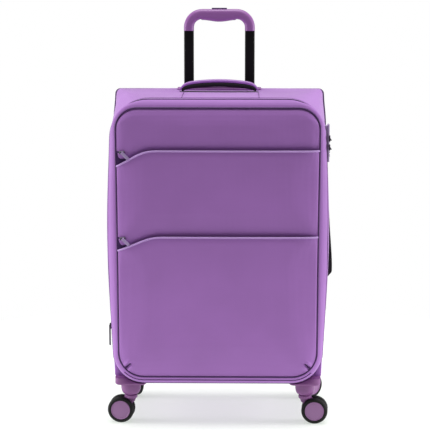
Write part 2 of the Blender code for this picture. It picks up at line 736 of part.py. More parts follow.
def make_zips(case, looks):
    edge = lock_y() - LOCK_FLANGE[0] / 2
    for name, z in SLIDER_ZS.items():
        foot = lock_face() - SLIDER_SET_BACK
        anchor = empty(f"main_slider_{name}_anchor", (foot, edge, z), case)
        slider = solid(
            f"main_slider_{name}",
            block((0, -0.0062, -0.006), (0.0032, -0.0005, 0.006), 0.0006),
            looks["metal"], anchor)
        hook = [(0.0012, -0.0045), (0.0059, -0.0045), (0.0052, -0.0022), (0.0012, 0.0042)]
        arm = plate(hook, -0.0058, -0.0009)
        guide = solid(f"main_slider_{name}_hook", arm, None, anchor)
        combine(slider, guide, "UNION")

    side = -half_width(EXPANSION_SLIDER_Z) - EXPANSION_SLIDER_OFF
    seam = (RING_REAR + SHELL_FRONT) / 2
    anchor = empty("expansion_slider_anchor", (side, seam, EXPANSION_SLIDER_Z), case)
    slider = solid("expansion_slider", block((-0.0028, -0.004, -0.005), (0, 0.004, 0.006), 0.0006),
                   looks["metal"], anchor)
    tag = solid("expansion_pull", block((-0.0032, -0.003, -0.046), (-0.0012, 0.003, -0.003), 0.0005),
                None, anchor)
    combine(slider, tag, "UNION")

    for name, mouth in MOUTHS.items():
        place = (POCKET_SLIDER_X, FRONT, mouth.height - POCKET_SLIDER_DROP)
        anchor = empty(f"pocket_slider_{name}_anchor", place, case)
        half, tall, face = SLIDER[0] / 2, SLIDER[1] / 2, POCKET_DEPTH + 0.001
        body = block((-half, -face, -tall), (half, -GAP, tall), 0.0008)
        solid(f"pocket_slider_{name}", body, looks["metal"], anchor)
        length, wide, thick = PULLER
        pin = empty(f"pocket_puller_{name}_anchor", (0, -face - thick, 0), anchor)
        pin.rotation_euler.y = radians(PULLER_TILT)
        tag = block((-thick / 2, -thick / 2, -wide / 2), (length, thick / 2, wide / 2), 0.0004)
        solid(f"pocket_puller_{name}", tag, looks["metal"], pin)


# ---------------------------------------------------------------- casters

def make_bracket(end, side, case, looks):
    """The moulded corner with the cup that holds a caster's stem."""
    sign = -1 if side == "left" else 1
    y_caster = CASTER_Y[end]
    name = f"caster_bracket_{end}_{side}"
    xs = sorted((sign * BRACKET_INNER_X, sign * BRACKET_OUTER_X))
    top = CASE_FLOOR - GAP
    if end == "front":
        ys = (BRACKET_FRONT, BRACKET_FRONT + BRACKET_LENGTH)
    else:
        ys = (BACK - 0.0005 - BRACKET_LENGTH, BACK - 0.0005)
    bracket = solid(name, rounded_block((xs[0], ys[0], BRACKET_LOW), (xs[1], ys[1], top), 0.012),
                    looks["trim"], case)
    cup_profile = [
        (STEM_RADIUS + 0.0006, CUP_LOW), (CUP_RADIUS - 0.002, CUP_LOW),
        (CUP_RADIUS, CUP_LOW + 0.006), (CUP_RADIUS, BRACKET_LOW + 0.001),
        (STEM_RADIUS + 0.0006, BRACKET_LOW + 0.001),
    ]
    cup = solid(f"{name}_cup", turned(cup_profile, 20, closed=True), None, case,
                (sign * CASTER_X, y_caster, 0))
    combine(bracket, cup, "UNION")
    if end == "front":
        upstand = solid(
            f"{name}_upstand",
            rounded_block((xs[0], ys[0], BRACKET_LOW + 0.001),
                          (xs[1], SHELL_FRONT - GAP, BRACKET_TOP), 0.010),
            None, case)
        clear = outline(RING_SECTIONS[-1], -PLAY)
        ring_room = solid(f"{name}_ring_room",
                          plate([(x, z) for x, _, z in clear], ys[0] - 0.02, SHELL_FRONT + 0.01),
                          None, case)
        combine(upstand, ring_room, "DIFFERENCE")
        combine(bracket, upstand, "UNION")


def make_fork(name, swivel, looks):
    """Crown, stem and the web that runs down to the axle between the wheels."""
    stem_top = BRACKET_LOW - 0.0035
    crown = [
        (0, CROWN_LOW), (CROWN_RADIUS - 0.002, CROWN_LOW), (CROWN_RADIUS, CROWN_LOW + 0.003),
        (CROWN_RADIUS, CUP_LOW - 0.0006), (STEM_RADIUS, CUP_LOW - 0.0006),
        (STEM_RADIUS, stem_top), (0, stem_top),
    ]
    fork = solid(name, turned(crown, 20), looks["trim"], swivel)
    hub = 0.0078
    shape = arc(TRAIL, WHEEL_RADIUS, hub, -150, 40, 8)
    shape += [(0.0150, CROWN_LOW + 0.002), (-0.0100, CROWN_LOW + 0.002), (-0.004, CROWN_LOW - 0.008)]
    web = solid(f"{name}_web", plate(shape, -WEB / 2, WEB / 2), None, swivel)
    combine(fork, web, "UNION")
    hole_radius = AXLE_RADIUS + GAP
    hole = solid(f"{name}_hole",
                 turned([(0, -0.01), (hole_radius, -0.01), (hole_radius, 0.01), (0, 0.01)], 12),
                 None, swivel, (TRAIL, 0, WHEEL_RADIUS))
    hole.rotation_euler.x = radians(90)
    combine(fork, hole, "DIFFERENCE")


def wheel_profile():
    """From the bore's blind end round the tyre to the middle of the hub's face."""
    radius, width = WHEEL_RADIUS, WHEEL_WIDTH
    bore = AXLE_RADIUS + GAP
    return [
        (0, width - 0.0022), (bore, width - 0.0022), (bore, 0), (radius - 0.0025, 0),
        (radius, 0.003), (radius, width - 0.0035), (radius - 0.0022, width - 0.0006),
        (radius - 0.0050, width), (radius - 0.0066, width - 0.0012), (0, width - 0.0006),
    ]


def make_caster(end, side, case, looks):
    sign = -1 if side == "left" else 1
    turn = radians(TRAIL_ANGLE[end, side])
    key = f"{end}_{side}"
    make_bracket(end, side, case, looks)
    swivel = empty(f"swivel_{key}", (sign * CASTER_X, CASTER_Y[end], 0), case, turn)
    make_fork(f"caster_fork_{key}", swivel, looks)

    reach = WEB / 2 + WHEEL_PLAY + WHEEL_WIDTH - 0.0030
    pin = solid(f"caster_axle_{key}",
                turned([(0, -reach), (AXLE_RADIUS, -reach), (AXLE_RADIUS, reach), (0, reach)], 12),
                looks["steel"], swivel, (TRAIL, 0, WHEEL_RADIUS))
    pin.rotation_euler.x = radians(90)
    offset = WEB / 2 + WHEEL_PLAY
    for letter, direction in (("a", -1), ("b", 1)):
        wheel = solid(f"wheel_{key}_{letter}", turned(wheel_profile(), WHEEL_SEGMENTS),
                      looks["tyre"], swivel, (TRAIL, direction * offset, WHEEL_RADIUS), 30)
        wheel.rotation_euler.x = radians(-90 * direction)


def main():
    for old in list(bpy.data.objects):
        bpy.data.objects.remove(old)
    looks = make_finishes()
    case = empty("case", (CASE_X, 0, 0))
    make_shell(case, looks)
    make_lid(case, looks)
    make_expansion(case, looks)
    make_trolley(case, looks)
    make_handles(case, looks)
    make_lock(case, looks)
    make_zips(case, looks)
    for end, side in TRAIL_ANGLE:
        make_caster(end, side, case, looks)


main()
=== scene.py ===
"""The finished look of a padded softside suitcase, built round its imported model.

Metres, +Z up, and the front faces -Y. Pieces are shaped about the case's own
mid plane and moved onto it last, with their place kept in their meshes.
"""

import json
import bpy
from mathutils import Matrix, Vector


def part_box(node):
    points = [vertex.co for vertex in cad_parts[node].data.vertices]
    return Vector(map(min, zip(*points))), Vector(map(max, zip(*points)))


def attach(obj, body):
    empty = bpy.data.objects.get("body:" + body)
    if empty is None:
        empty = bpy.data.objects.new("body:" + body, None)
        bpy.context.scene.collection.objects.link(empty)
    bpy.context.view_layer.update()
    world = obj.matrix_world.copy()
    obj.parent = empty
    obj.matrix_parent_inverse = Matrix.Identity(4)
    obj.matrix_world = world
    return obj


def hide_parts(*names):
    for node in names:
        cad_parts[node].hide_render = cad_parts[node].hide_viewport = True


bl_info = {
    "name": "Softside Suitcase",
    "version": (1, 0, 0),
    "blender": (4, 5, 0),
    "location": "3D View > Sidebar > Suitcase",
    "description": "Builds the fabric, trim, casters and studio of a softside suitcase",
    "category": "Add Mesh",
}

from collections import namedtuple
from math import cos, exp, pi, radians, sin

import bmesh
import bpy
from bpy.props import FloatProperty, FloatVectorProperty, IntProperty, PointerProperty
from mathutils import Matrix, Vector, noise

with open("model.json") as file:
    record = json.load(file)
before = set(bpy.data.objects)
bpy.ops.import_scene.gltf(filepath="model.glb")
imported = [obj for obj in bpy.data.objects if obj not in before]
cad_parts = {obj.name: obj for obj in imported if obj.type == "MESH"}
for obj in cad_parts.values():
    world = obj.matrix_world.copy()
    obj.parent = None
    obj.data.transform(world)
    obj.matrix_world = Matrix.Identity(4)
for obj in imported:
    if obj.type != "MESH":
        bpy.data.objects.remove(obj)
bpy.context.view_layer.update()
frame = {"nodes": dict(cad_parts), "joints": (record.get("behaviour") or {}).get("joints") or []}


def cad(node, end, axis):
    """One side of a CAD node's box: end 0 is its low side and 1 its high side."""
    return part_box(node)[end][axis]


def middle(node, axis):
    return (cad(node, 0, axis) + cad(node, 1, axis)) / 2


MID_X = middle("back_panel", 0)
CASE_FLOOR = cad("back_panel", 0, 2)
CASE_TOP = cad("back_panel", 1, 2)
BACK = cad("back_panel", 1, 1)
LID_FRONT = cad("lid_panel", 0, 1)
LID_REAR = cad("lid_panel", 1, 1)
RING_FRONT = cad("expansion_ring", 0, 1)
RING_REAR = cad("expansion_ring", 1, 1)
SHELL_FRONT = cad("rear_shell", 0, 1)
SHELL_REAR = cad("rear_shell", 1, 1)
TOP_WIDTH = 0.430
LOW_WIDTH = 0.424
SIDE_BULGE = 0.0105
SQUARE_END = BACK - 0.0010      # where the shell's wall meets the back panel
SIDE_SEAM_Z = 0.175

Section = namedtuple("Section", "y inset rise bulge top_radius low_radius")
Mouth = namedtuple("Mouth", "height start slope")
MOUTHS = {
    "upper": Mouth(CASE_TOP - 0.1013, -0.125, 0.55),
    "lower": Mouth(0.3954, -0.113, 0.41),
}
MOUTH_BEND = 0.040
PIPING_ROOM = 0.0015            # from the piping's centre line to the panels' sewn edge
PIPING_TOP_RADIUS = 0.042
PIPING_LOW_RADIUS = 0.050


# ------------------------------------------------------------- properties

def length(label, words, value, low, high):
    """A length property, in metres."""
    return FloatProperty(
        name=label, description=words, default=value, min=low, max=high, unit="LENGTH")


class SuitcaseSizes(bpy.types.PropertyGroup):
    """Sizes of the soft and moulded pieces."""
    fabric: length("Fabric", "Thickness of the padded fabric", 0.0030, 0.001, 0.006)
    piping: length("Piping", "Radius of the piping round the front", 0.0016, 0.0005, 0.004)
    hem: length("Hem", "Radius of the rolled hem along a pocket's mouth", 0.0019, 0.0005, 0.003)
    pocket_stand: length(
        "Pocket stand", "How far a pocket's mouth stands off the lid", 0.0088, 0.002, 0.012)
    crown: length("Crown", "Most that a padded panel may swell", 0.0074, 0.0, 0.010)
    swell_limit: length(
        "Swell limit", "Most that the cloth may move under pressure", 0.0022, 0.0, 0.010)
    swell: length("Finger swell", "How far the grip's underside swells", 0.0036, 0.0, 0.008)
    segments: IntProperty(
        name="Segments", description="Segments round a turned piece",
        default=64, min=16, max=128)


def colour(label, words, value):
    """A colour property whose default is an sRGB hex value."""
    return FloatVectorProperty(
        name=label, description=words, default=linear(value), size=3, min=0.0, max=1.0,
        subtype="COLOR")


def linear(hex_value):
    """An sRGB hex value as linear red, green and blue."""
    channels = [int(hex_value[i:i + 2], 16) / 255 for i in (0, 2, 4)]
    return [c / 12.92 if c <= 0.04045 else ((c + 0.055) / 1.055) ** 2.4 for c in channels]


class SuitcaseColours(bpy.types.PropertyGroup):
    """Colours of the fabric and the trim."""
    fabric: colour("Fabric", "The padded woven polyester", "AA73C3")
    piping: colour("Piping", "The dark piping and seams", "47205C")
    trim: colour("Trim", "The moulded grip, brackets and forks", "A067AC")
    bracket: colour("Brackets", "The moulded corners, domes and forks", "864F8A")
    hub: colour("Hubs", "The discs of the wheels", "9A6C9E")
    webbing: colour("Webbing", "The padded carry handles", "120D14")
    lining: colour("Lining", "The lining cloth inside", "5E5A66")


# ------------------------------------------------------------- shapes

def side(z, bulge=SIDE_BULGE):
    """Half the outside width of the case at a height."""
    share = min(1.0, max(0.0, (z - CASE_FLOOR) / (CASE_TOP - CASE_FLOOR)))
    straight = LOW_WIDTH / 2 + (TOP_WIDTH - LOW_WIDTH) / 2 * share
    return straight + bulge * max(0.0, sin(pi * share)) ** 1.5


def round_off(bm, geom, radius, segments, affect="EDGES"):
    """Rounds edges or corners to true arcs."""
    bmesh.ops.bevel(bm, geom=geom, offset=radius, offset_type="OFFSET", segments=segments,
                    profile=0.5, affect=affect, material=-1)


def pull_out(bm, faces, vec):
    """Extrudes faces by a vector, and gives the faces of the new end."""
    grown = bmesh.ops.extrude_face_region(bm, geom=faces)["geom"]
    bmesh.ops.translate(bm, vec=vec, verts=[g for g in grown if isinstance(g, bmesh.types.BMVert)])
    return [g for g in grown if isinstance(g, bmesh.types.BMFace)]


def rounded_plate(x, y, z, wide, deep, radius, segments):
    """A flat face with rounded corners, from which a bar is drawn up."""
    bm = bmesh.new()
    bmesh.ops.create_grid(bm, x_segments=1, y_segments=1, size=0.5, matrix=Matrix.LocRotScale(
        Vector((x, y, z)), None, Vector((wide, deep, 1))))
    round_off(bm, bm.verts[:], radius, segments, "VERTICES")
    return bm


def outline_loop(bm, section, cuts=40, steps=12):
    """Adds a loop of edges round the case: four rounded corners, drawn to its sides."""
    ring = bmesh.new()
    half = TOP_WIDTH / 2 - section.inset
    low, high = CASE_FLOOR + section.rise, CASE_TOP - section.rise
    ring.faces.new([ring.verts.new((x, section.y, z))
                    for x, z in ((half, low), (half, high), (-half, high), (-half, low))])
    for height, radius in ((high, section.top_radius), (low, section.low_radius)):
        picked = [v for v in ring.verts if abs(v.co.z - height) < 1e-5]
        round_off(ring, picked, radius, steps, "VERTICES")
    straight = [e for e in ring.edges if e.calc_length() > 0.08]
    bmesh.ops.subdivide_edges(ring, edges=straight, cuts=cuts)
    bmesh.ops.delete(ring, geom=ring.faces[:], context="FACES_ONLY")
    for vert in ring.verts:
        vert.co.x *= (side(vert.co.z, section.bulge) - section.inset) / half
    join_into(bm, ring)


def outline_loops(bm, sections):
    """One loop of edges for each section."""
    for section in sections:
        outline_loop(bm, section)
    size = len(bm.edges) // len(sections)
    return [bm.edges[size * i:size * (i + 1)] for i in range(len(sections))]


def loft(sections, closed=False):
    """The case's skin through several sections, with its ends closed or open."""
    bm = bmesh.new()
    loops = outline_loops(bm, sections)
    for first, second in zip(loops, loops[1:]):
        bmesh.ops.bridge_loops(bm, edges=first + second)
    if closed:
        for loop in (loops[0], loops[-1]):
            bmesh.ops.edgeloop_fill(bm, edges=loop)
    return faced_out(bm)


def faced_out(bm):
    """Turns a tube's faces away from the middle of the case."""
    bmesh.ops.recalc_face_normals(bm, faces=bm.faces)
    if max(bm.faces, key=lambda f: f.calc_center_median().x).normal.x < 0:
        bmesh.ops.reverse_faces(bm, faces=bm.faces)
    return bm


def between(first, second, share):
    return Section(*[a + (b - a) * share for a, b in zip(first, second)])


def filled_in(sections, spacing):
    """More sections in between, so that each step along Y is at most the spacing."""
    made = [sections[0]]
    for first, second in zip(sections, sections[1:]):
        count = max(1, round(abs(second.y - first.y) / spacing))
        made += [between(first, second, (i + 1) / count) for i in range(count)]
    return made


def ordered_loop(edges):
    """The points of a closed loop of edges, in order."""
    start = edges[0].verts[0]
    picked = set(edges)
    points, vert, edge = [start.co.copy()], edges[0].verts[1], edges[0]
    while vert is not start:
        points.append(vert.co.copy())
        edge = next(e for e in vert.link_edges if e is not edge and e in picked)
        vert = edge.other_vert(vert)
    return points


def outline_points(section):
    bm = bmesh.new()
    points = ordered_loop(outline_loops(bm, [section])[0])
    bm.free()
    return points


def ripple(bm, amount, scale):
    """Slow waves, as cloth has over soft foam."""
    bm.normal_update()
    moves = [v.normal * amount * noise.noise(v.co * scale) for v in bm.verts]
    for vert, move in zip(bm.verts, moves):
        vert.co += move


def box_form(low, high, bevel=0.0, segments=3):
    """A box between two corners, with rounded edges."""
    bm = bmesh.new()
    size = Vector(high) - Vector(low)
    bmesh.ops.create_cube(bm, size=1.0, matrix=Matrix.LocRotScale(
        (Vector(high) + Vector(low)) / 2, None, size))
    if bevel:
        round_off(bm, bm.edges[:], bevel, segments)
    return bm


def turned(profile, segments, closed=False):
    """A profile of (radius, height) points, spun about Z."""
    bm = bmesh.new()
    verts = [bm.verts.new((radius, 0, height)) for radius, height in profile]
    edges = [bm.edges.new(pair) for pair in zip(verts, verts[1:])]
    if closed:
        edges.append(bm.edges.new((verts[-1], verts[0])))
    bmesh.ops.spin(bm, geom=verts + edges, cent=(0, 0, 0), axis=(0, 0, 1),
                   angle=2 * pi, steps=segments, use_merge=True)
    bmesh.ops.remove_doubles(bm, verts=bm.verts, dist=1e-6)
    bmesh.ops.recalc_face_normals(bm, faces=bm.faces)
    return bm


def slice_along(bm, axis, places):
    """Cuts the mesh across one axis, so that it can bend there."""
    normal = [0.0, 0.0, 0.0]
    normal[axis] = 1.0
    for place in places:
        point = [0.0, 0.0, 0.0]
        point[axis] = place
        bmesh.ops.bisect_plane(bm, geom=bm.verts[:] + bm.edges[:] + bm.faces[:],
                               plane_co=point, plane_no=normal)


def piece(name, bm, looks, body, smooth=30.0, centred=True, replaces=()):
    """Makes an object of a bmesh, moves it onto the case and lets it ride on a body.

    Its looks are named finishes. It may be seen instead of CAD nodes, which it hides.
    """
    if centred:
        bmesh.ops.translate(bm, verts=bm.verts, vec=(MID_X, 0, 0))
    mesh = bpy.data.meshes.new(name)
    bm.to_mesh(mesh)
    bm.free()
    mesh.shade_smooth()
    if smooth < 180:
        mesh.set_sharp_from_angle(angle=radians(smooth))
    for look in looks:
        mesh.materials.append(finishes[look])
    made = bpy.data.objects.new(name, mesh)
    bpy.context.collection.objects.link(made)
    if body:
        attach(made, body)
    if replaces:
        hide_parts(*replaces)
    return made


def join_into(bm, other, matrix=None, material=None):
    """Adds a second bmesh to the first."""
    if matrix:
        other.transform(matrix)
        if matrix.determinant() < 0:
            bmesh.ops.reverse_faces(other, faces=other.faces)
    if material is not None:
        for face in other.faces:
            face.material_index = material
    mesh = bpy.data.meshes.new("joining")
    other.to_mesh(mesh)
    other.free()
    bm.from_mesh(mesh)
    bpy.data.meshes.remove(mesh)


def cord_form(points, radius, closed=False):
    """A round cord through points, made as a curve with a bevel."""
    curve = bpy.data.curves.new("cord", "CURVE")
    curve.dimensions = "3D"
    curve.bevel_depth = radius
    curve.bevel_resolution = 2
    curve.use_fill_caps = not closed
    spline = curve.splines.new("POLY")
    spline.points.add(len(points) - 1)
    for point, place in zip(spline.points, points):
        point.co = (*place, 1.0)
    spline.use_cyclic_u = closed
    holder = bpy.data.objects.new("cord", curve)
    bpy.context.collection.objects.link(holder)
    bpy.context.view_layer.update()
    mesh = bpy.data.meshes.new_from_object(
        holder.evaluated_get(bpy.context.evaluated_depsgraph_get()))
    bpy.data.objects.remove(holder)
    bpy.data.curves.remove(curve)
    bm = bmesh.new()
    bm.from_mesh(mesh)
    bpy.data.meshes.remove(mesh)
    bmesh.ops.remove_doubles(bm, verts=bm.verts, dist=1e-6)
    bmesh.ops.recalc_face_normals(bm, faces=bm.faces)
    return bm


def thicken(made, thickness, inner_material=0):
    """Gives a skin its thickness; the inside may take the lining's material."""
    wall = made.modifiers.new("thickness", "SOLIDIFY")
    wall.thickness = thickness
    wall.offset = -1.0
    wall.material_offset = inner_material
    wall.material_offset_rim = 0


def soften(made):
    """One level of subdivision over a padded panel."""
    level = made.modifiers.new("soften", "SUBSURF")
    level.levels = level.render_levels = 1


# ------------------------------------------------------------- finishes

def add_node(tree, kind, inputs=None, **settings):
    """Adds a node with its settings, and links or sets its inputs."""
    node = tree.nodes.new(kind)
    for name, value in settings.items():
        setattr(node, name, value)
    for socket, value in (inputs or {}).items():
        if isinstance(value, bpy.types.NodeSocket):
            tree.links.new(value, node.inputs[socket])
        else:
            node.inputs[socket].default_value = value
    return node


def start_finish(name, roughness, **sockets):
    """A new material with its Principled shader, and its place coordinates."""
    material = bpy.data.materials.new(name)
    material.use_nodes = True
    tree = material.node_tree
    shader = tree.nodes["Principled BSDF"]
    shader.inputs["Roughness"].default_value = roughness
    for socket, value in sockets.items():
        shader.inputs[socket.replace("_", " ")].default_value = value
    place = add_node(tree, "ShaderNodeTexCoord")
    return material, tree, shader, place.outputs["Object"]


def mottled(tree, shader, place, base, spread, scale):
    """Varies the base colour slowly between a darker and a lighter tone."""
    cloud = add_node(tree, "ShaderNodeTexNoise", {"Vector": place, "Scale": scale, "Detail": 3.0})
    ramp = add_node(tree, "ShaderNodeValToRGB", {"Fac": cloud.outputs["Fac"]})
    for stop, factor in zip(ramp.color_ramp.elements, (1 - spread, 1 + spread)):
        stop.color = [min(1.0, c * factor) for c in base] + [1.0]
    ramp.color_ramp.elements[0].position = 0.3
    ramp.color_ramp.elements[1].position = 0.7
    tree.links.new(ramp.outputs["Color"], shader.inputs["Base Color"])
    return ramp


def bumped(tree, shader, height, strength, distance):
    bump = add_node(tree, "ShaderNodeBump",
                    {"Height": height, "Strength": strength, "Distance": distance})
    tree.links.new(bump.outputs["Normal"], shader.inputs["Normal"])


def woven(name, base, pitch, strength, roughness=0.62, sheen=0.25, spread=0.05):
    """Woven polyester: crossing threads, a soft sheen and slow changes of tone.

    The pitch is the thread spacing, drawn several times coarser than real so that it shows.
    """
    material, tree, shader, place = start_finish(
        name, roughness, Sheen_Weight=sheen, Sheen_Roughness=0.45, Specular_IOR_Level=0.35)
    mottled(tree, shader, place, base, spread, 7.0)
    total = None
    for direction in "XYZ":
        threads = add_node(tree, "ShaderNodeTexWave",
                           {"Vector": place, "Scale": 0.314 / pitch, "Distortion": 0.6,
                            "Detail": 1.0, "Detail Scale": 3.0},
                           wave_type="BANDS", bands_direction=direction)
        if total is None:
            total = threads.outputs["Fac"]
        else:
            total = add_node(tree, "ShaderNodeMath", {0: total, 1: threads.outputs["Fac"]},
                             operation="ADD").outputs[0]
    bumped(tree, shader, total, strength, pitch * 0.2)
    return material


def moulded(name, base, roughness, grain=0.05, spread=0.03, **sockets):
    """Injection-moulded ABS: one tone with a fine spark-eroded grain."""
    material, tree, shader, place = start_finish(name, roughness, **sockets)
    mottled(tree, shader, place, base, spread, 14.0)
    spots = add_node(tree, "ShaderNodeTexNoise", {"Vector": place, "Scale": 900.0, "Detail": 2.0})
    bumped(tree, shader, spots.outputs["Fac"], grain, 0.0003)
    return material


def brushed(name, base, roughness, stretch, metallic=1.0, **sockets):
    """Metal with fine parallel scratches along one axis."""
    material, tree, shader, place = start_finish(name, roughness, Metallic=metallic, **sockets)
    turned_place = add_node(tree, "ShaderNodeMapping", {"Vector": place, "Scale": stretch})
    lines = add_node(tree, "ShaderNodeTexNoise",
                     {"Vector": turned_place.outputs["Vector"], "Scale": 60.0, "Detail": 4.0})
    mottled(tree, shader, place, base, 0.04, 20.0)
    bumped(tree, shader, lines.outputs["Fac"], 0.08, 0.0002)
    return material


def pale_floor():
    """Matt white paper that glows a little, as a lit sweep does."""
    material, tree, shader, place = start_finish(
        "white_paper", 0.9, Emission_Color=(0.93, 1.0, 0.92, 1), Emission_Strength=0.58)
    mottled(tree, shader, place, linear("AEAEAE"), 0.005, 2.0)
    return material


finishes = {}


def dress(node, finish):
    """Gives a CAD node that stays in view its material."""
    materials = frame["nodes"][node].data.materials
    materials.clear()
    materials.append(finishes[finish])


def make_finishes(context):
    """Every material of the suitcase."""
    tones = context.scene.suitcase_colours
    finishes.update(
        # Woven and padded, so it is matt with a soft sheen where it turns away.
        fabric=woven("padded_polyester", tones.fabric, 0.0024, 0.20),
        # A tight dark tape over a cord, which reads as a line.
        piping=woven("piping_tape", tones.piping, 0.0016, 0.25, 0.55, 0.15),
        # The hem's tape, painted paler than the fabric: a painted highlight along the rolled edge, where
        # the top light catches it.
        hem=woven("hem_tape", linear("C39BDD"), 0.0012, 0.2, 0.5, 0.3),
        # Thin plain weave, flat and grey.
        lining=woven("lining_cloth", tones.lining, 0.0030, 0.2, 0.8, 0.1),
        # Coarse black webbing that swallows light.
        webbing=woven("padded_webbing", tones.webbing, 0.0020, 0.5, 0.75, 0.0),
        # The zip's real tape, coloured dark also as painted shade for the shadowed opening under the
        # pocket's mouth.
        tape=woven("zip_tape", linear("42225A"), 0.0012, 0.3, 0.7, 0.0),
        # Moulded ABS with a satin face and broad soft highlights.
        trim=moulded("satin_abs", tones.trim, 0.38),
        bracket=moulded("bracket_abs", tones.bracket, 0.42),
        hub=moulded("hub_abs", tones.hub, 0.42),
        # Lacquered zinc: pale, with no metal left to see.
        lock=moulded("lock_zinc_lacquer", linear("AC97BD"), 0.42),
        # Glass-filled nylon, nearly black.
        black=moulded("black_nylon", linear("1A191B"), 0.45),
        # Soft polyurethane, dull from wear.
        tyre=moulded("polyurethane_tyre", linear("121112"), 0.6, 0.1, Specular_IOR_Level=0.3),
        # Black stoving enamel on aluminium; only faint lines run along it.
        tube=brushed("enamelled_tube", linear("050505"), 0.55, (1.0, 1.0, 0.02), 0.0,
                     Specular_IOR_Level=0.2),
        # Plated zinc sliders, dark grey and half glossy.
        zinc=brushed("gunmetal_zinc", linear("4A4450"), 0.35, (1.0, 0.05, 1.0)),
        # Lacquered pulls that keep a little of the metal under them.
        pull=brushed("lacquered_pull", linear("B49BCB"), 0.45, (1.0, 1.0, 1.0), 0.1),
        # Tinted aluminium, brushed along its length.
        badge=brushed("violet_aluminium", linear("C0A6C8"), 0.35, (0.03, 1.0, 1.0), 0.35),
        # Bare bright steel.
        steel=brushed("bright_steel", linear("C2C2C4"), 0.3, (1.0, 1.0, 1.0)),
        paper=pale_floor(),
    )


# ------------------------------------------------------------- the case

LID_SKIN = (
    Section(LID_FRONT + 0.0002, 0.0130, 0.0190, -0.001, 0.043, 0.051),
    Section(LID_FRONT - 0.0006, 0.0112, 0.0168, -0.001, 0.044, 0.052),
    Section(LID_FRONT + 0.0004, 0.0088, 0.0135, 0.002, 0.046, 0.054),
    Section(LID_FRONT + 0.0022, 0.0064, 0.0098, 0.003, 0.048, 0.056),
    Section(LID_FRONT + 0.0045, 0.0044, 0.0066, 0.0045, 0.054, 0.058),
    Section(LID_FRONT + 0.0075, 0.0027, 0.0038, 0.006, 0.062, 0.060),
    Section(LID_REAR - 0.0030, 0.0012, 0.0018, 0.008, 0.072, 0.062),
    Section(LID_REAR - 0.0012, 0.0022, 0.0028, 0.0085, 0.074, 0.062),
    Section(LID_REAR - 0.0004, 0.0045, 0.0050, 0.0085, 0.075, 0.062),
)
RING_SKIN = (
    Section(RING_FRONT + 0.0004, 0.0045, 0.0050, 0.0085, 0.078, 0.062),
    Section(RING_FRONT + 0.0012, 0.0020, 0.0024, 0.0085, 0.078, 0.062),
    Section(RING_FRONT + 0.0038, 0.0004, 0.0008, 0.0092, 0.078, 0.062),
    Section(RING_REAR - 0.0038, 0.0, 0.0002, SIDE_BULGE, 0.078, 0.062),
    Section(RING_REAR - 0.0012, 0.0014, 0.0018, SIDE_BULGE, 0.078, 0.062),
    Section(RING_REAR - 0.0004, 0.0038, 0.0040, SIDE_BULGE, 0.078, 0.062),
)
SHELL_SKIN = (
    Section(SHELL_FRONT + 0.0006, 0.0060, 0.0060, SIDE_BULGE, 0.080, 0.060),
    Section(SHELL_FRONT, 0.0040, 0.0040, SIDE_BULGE, 0.078, 0.034),
    Section(SHELL_FRONT + 0.0002, 0.0018, 0.0018, SIDE_BULGE, 0.078, 0.018),
    Section(SHELL_FRONT + 0.0014, 0.0006, 0.0006, SIDE_BULGE, 0.078, 0.014),
    Section(SHELL_FRONT + 0.0040, 0.0, 0.0, SIDE_BULGE, 0.075, 0.014),
    Section(0.020, 0.0, 0.0, SIDE_BULGE, 0.042, 0.014),
    Section(SHELL_REAR - 0.006, 0.0, 0.0, 0.008, 0.012, 0.014),
    Section(SQUARE_END, 0.0006, 0.0006, 0.008, 0.009, 0.014),
)


def flare(bm):
    """The stiff rear corners stand out a little at the top, where the walls are square."""
    for vert in bm.verts:
        back = smooth_step((vert.co.y - 0.05) / 0.08)
        high = smooth_step((vert.co.z - 0.48) / 0.10) - 0.45 * smooth_step((vert.co.z - 0.60) / 0.06)
        vert.co.x += (0.0075 if vert.co.x > 0 else -0.0075) * back * high * min(
            1.0, abs(vert.co.x) / 0.18)


def smooth_step(value):
    value = min(1.0, max(0.0, value))
    return value * value * (3 - 2 * value)


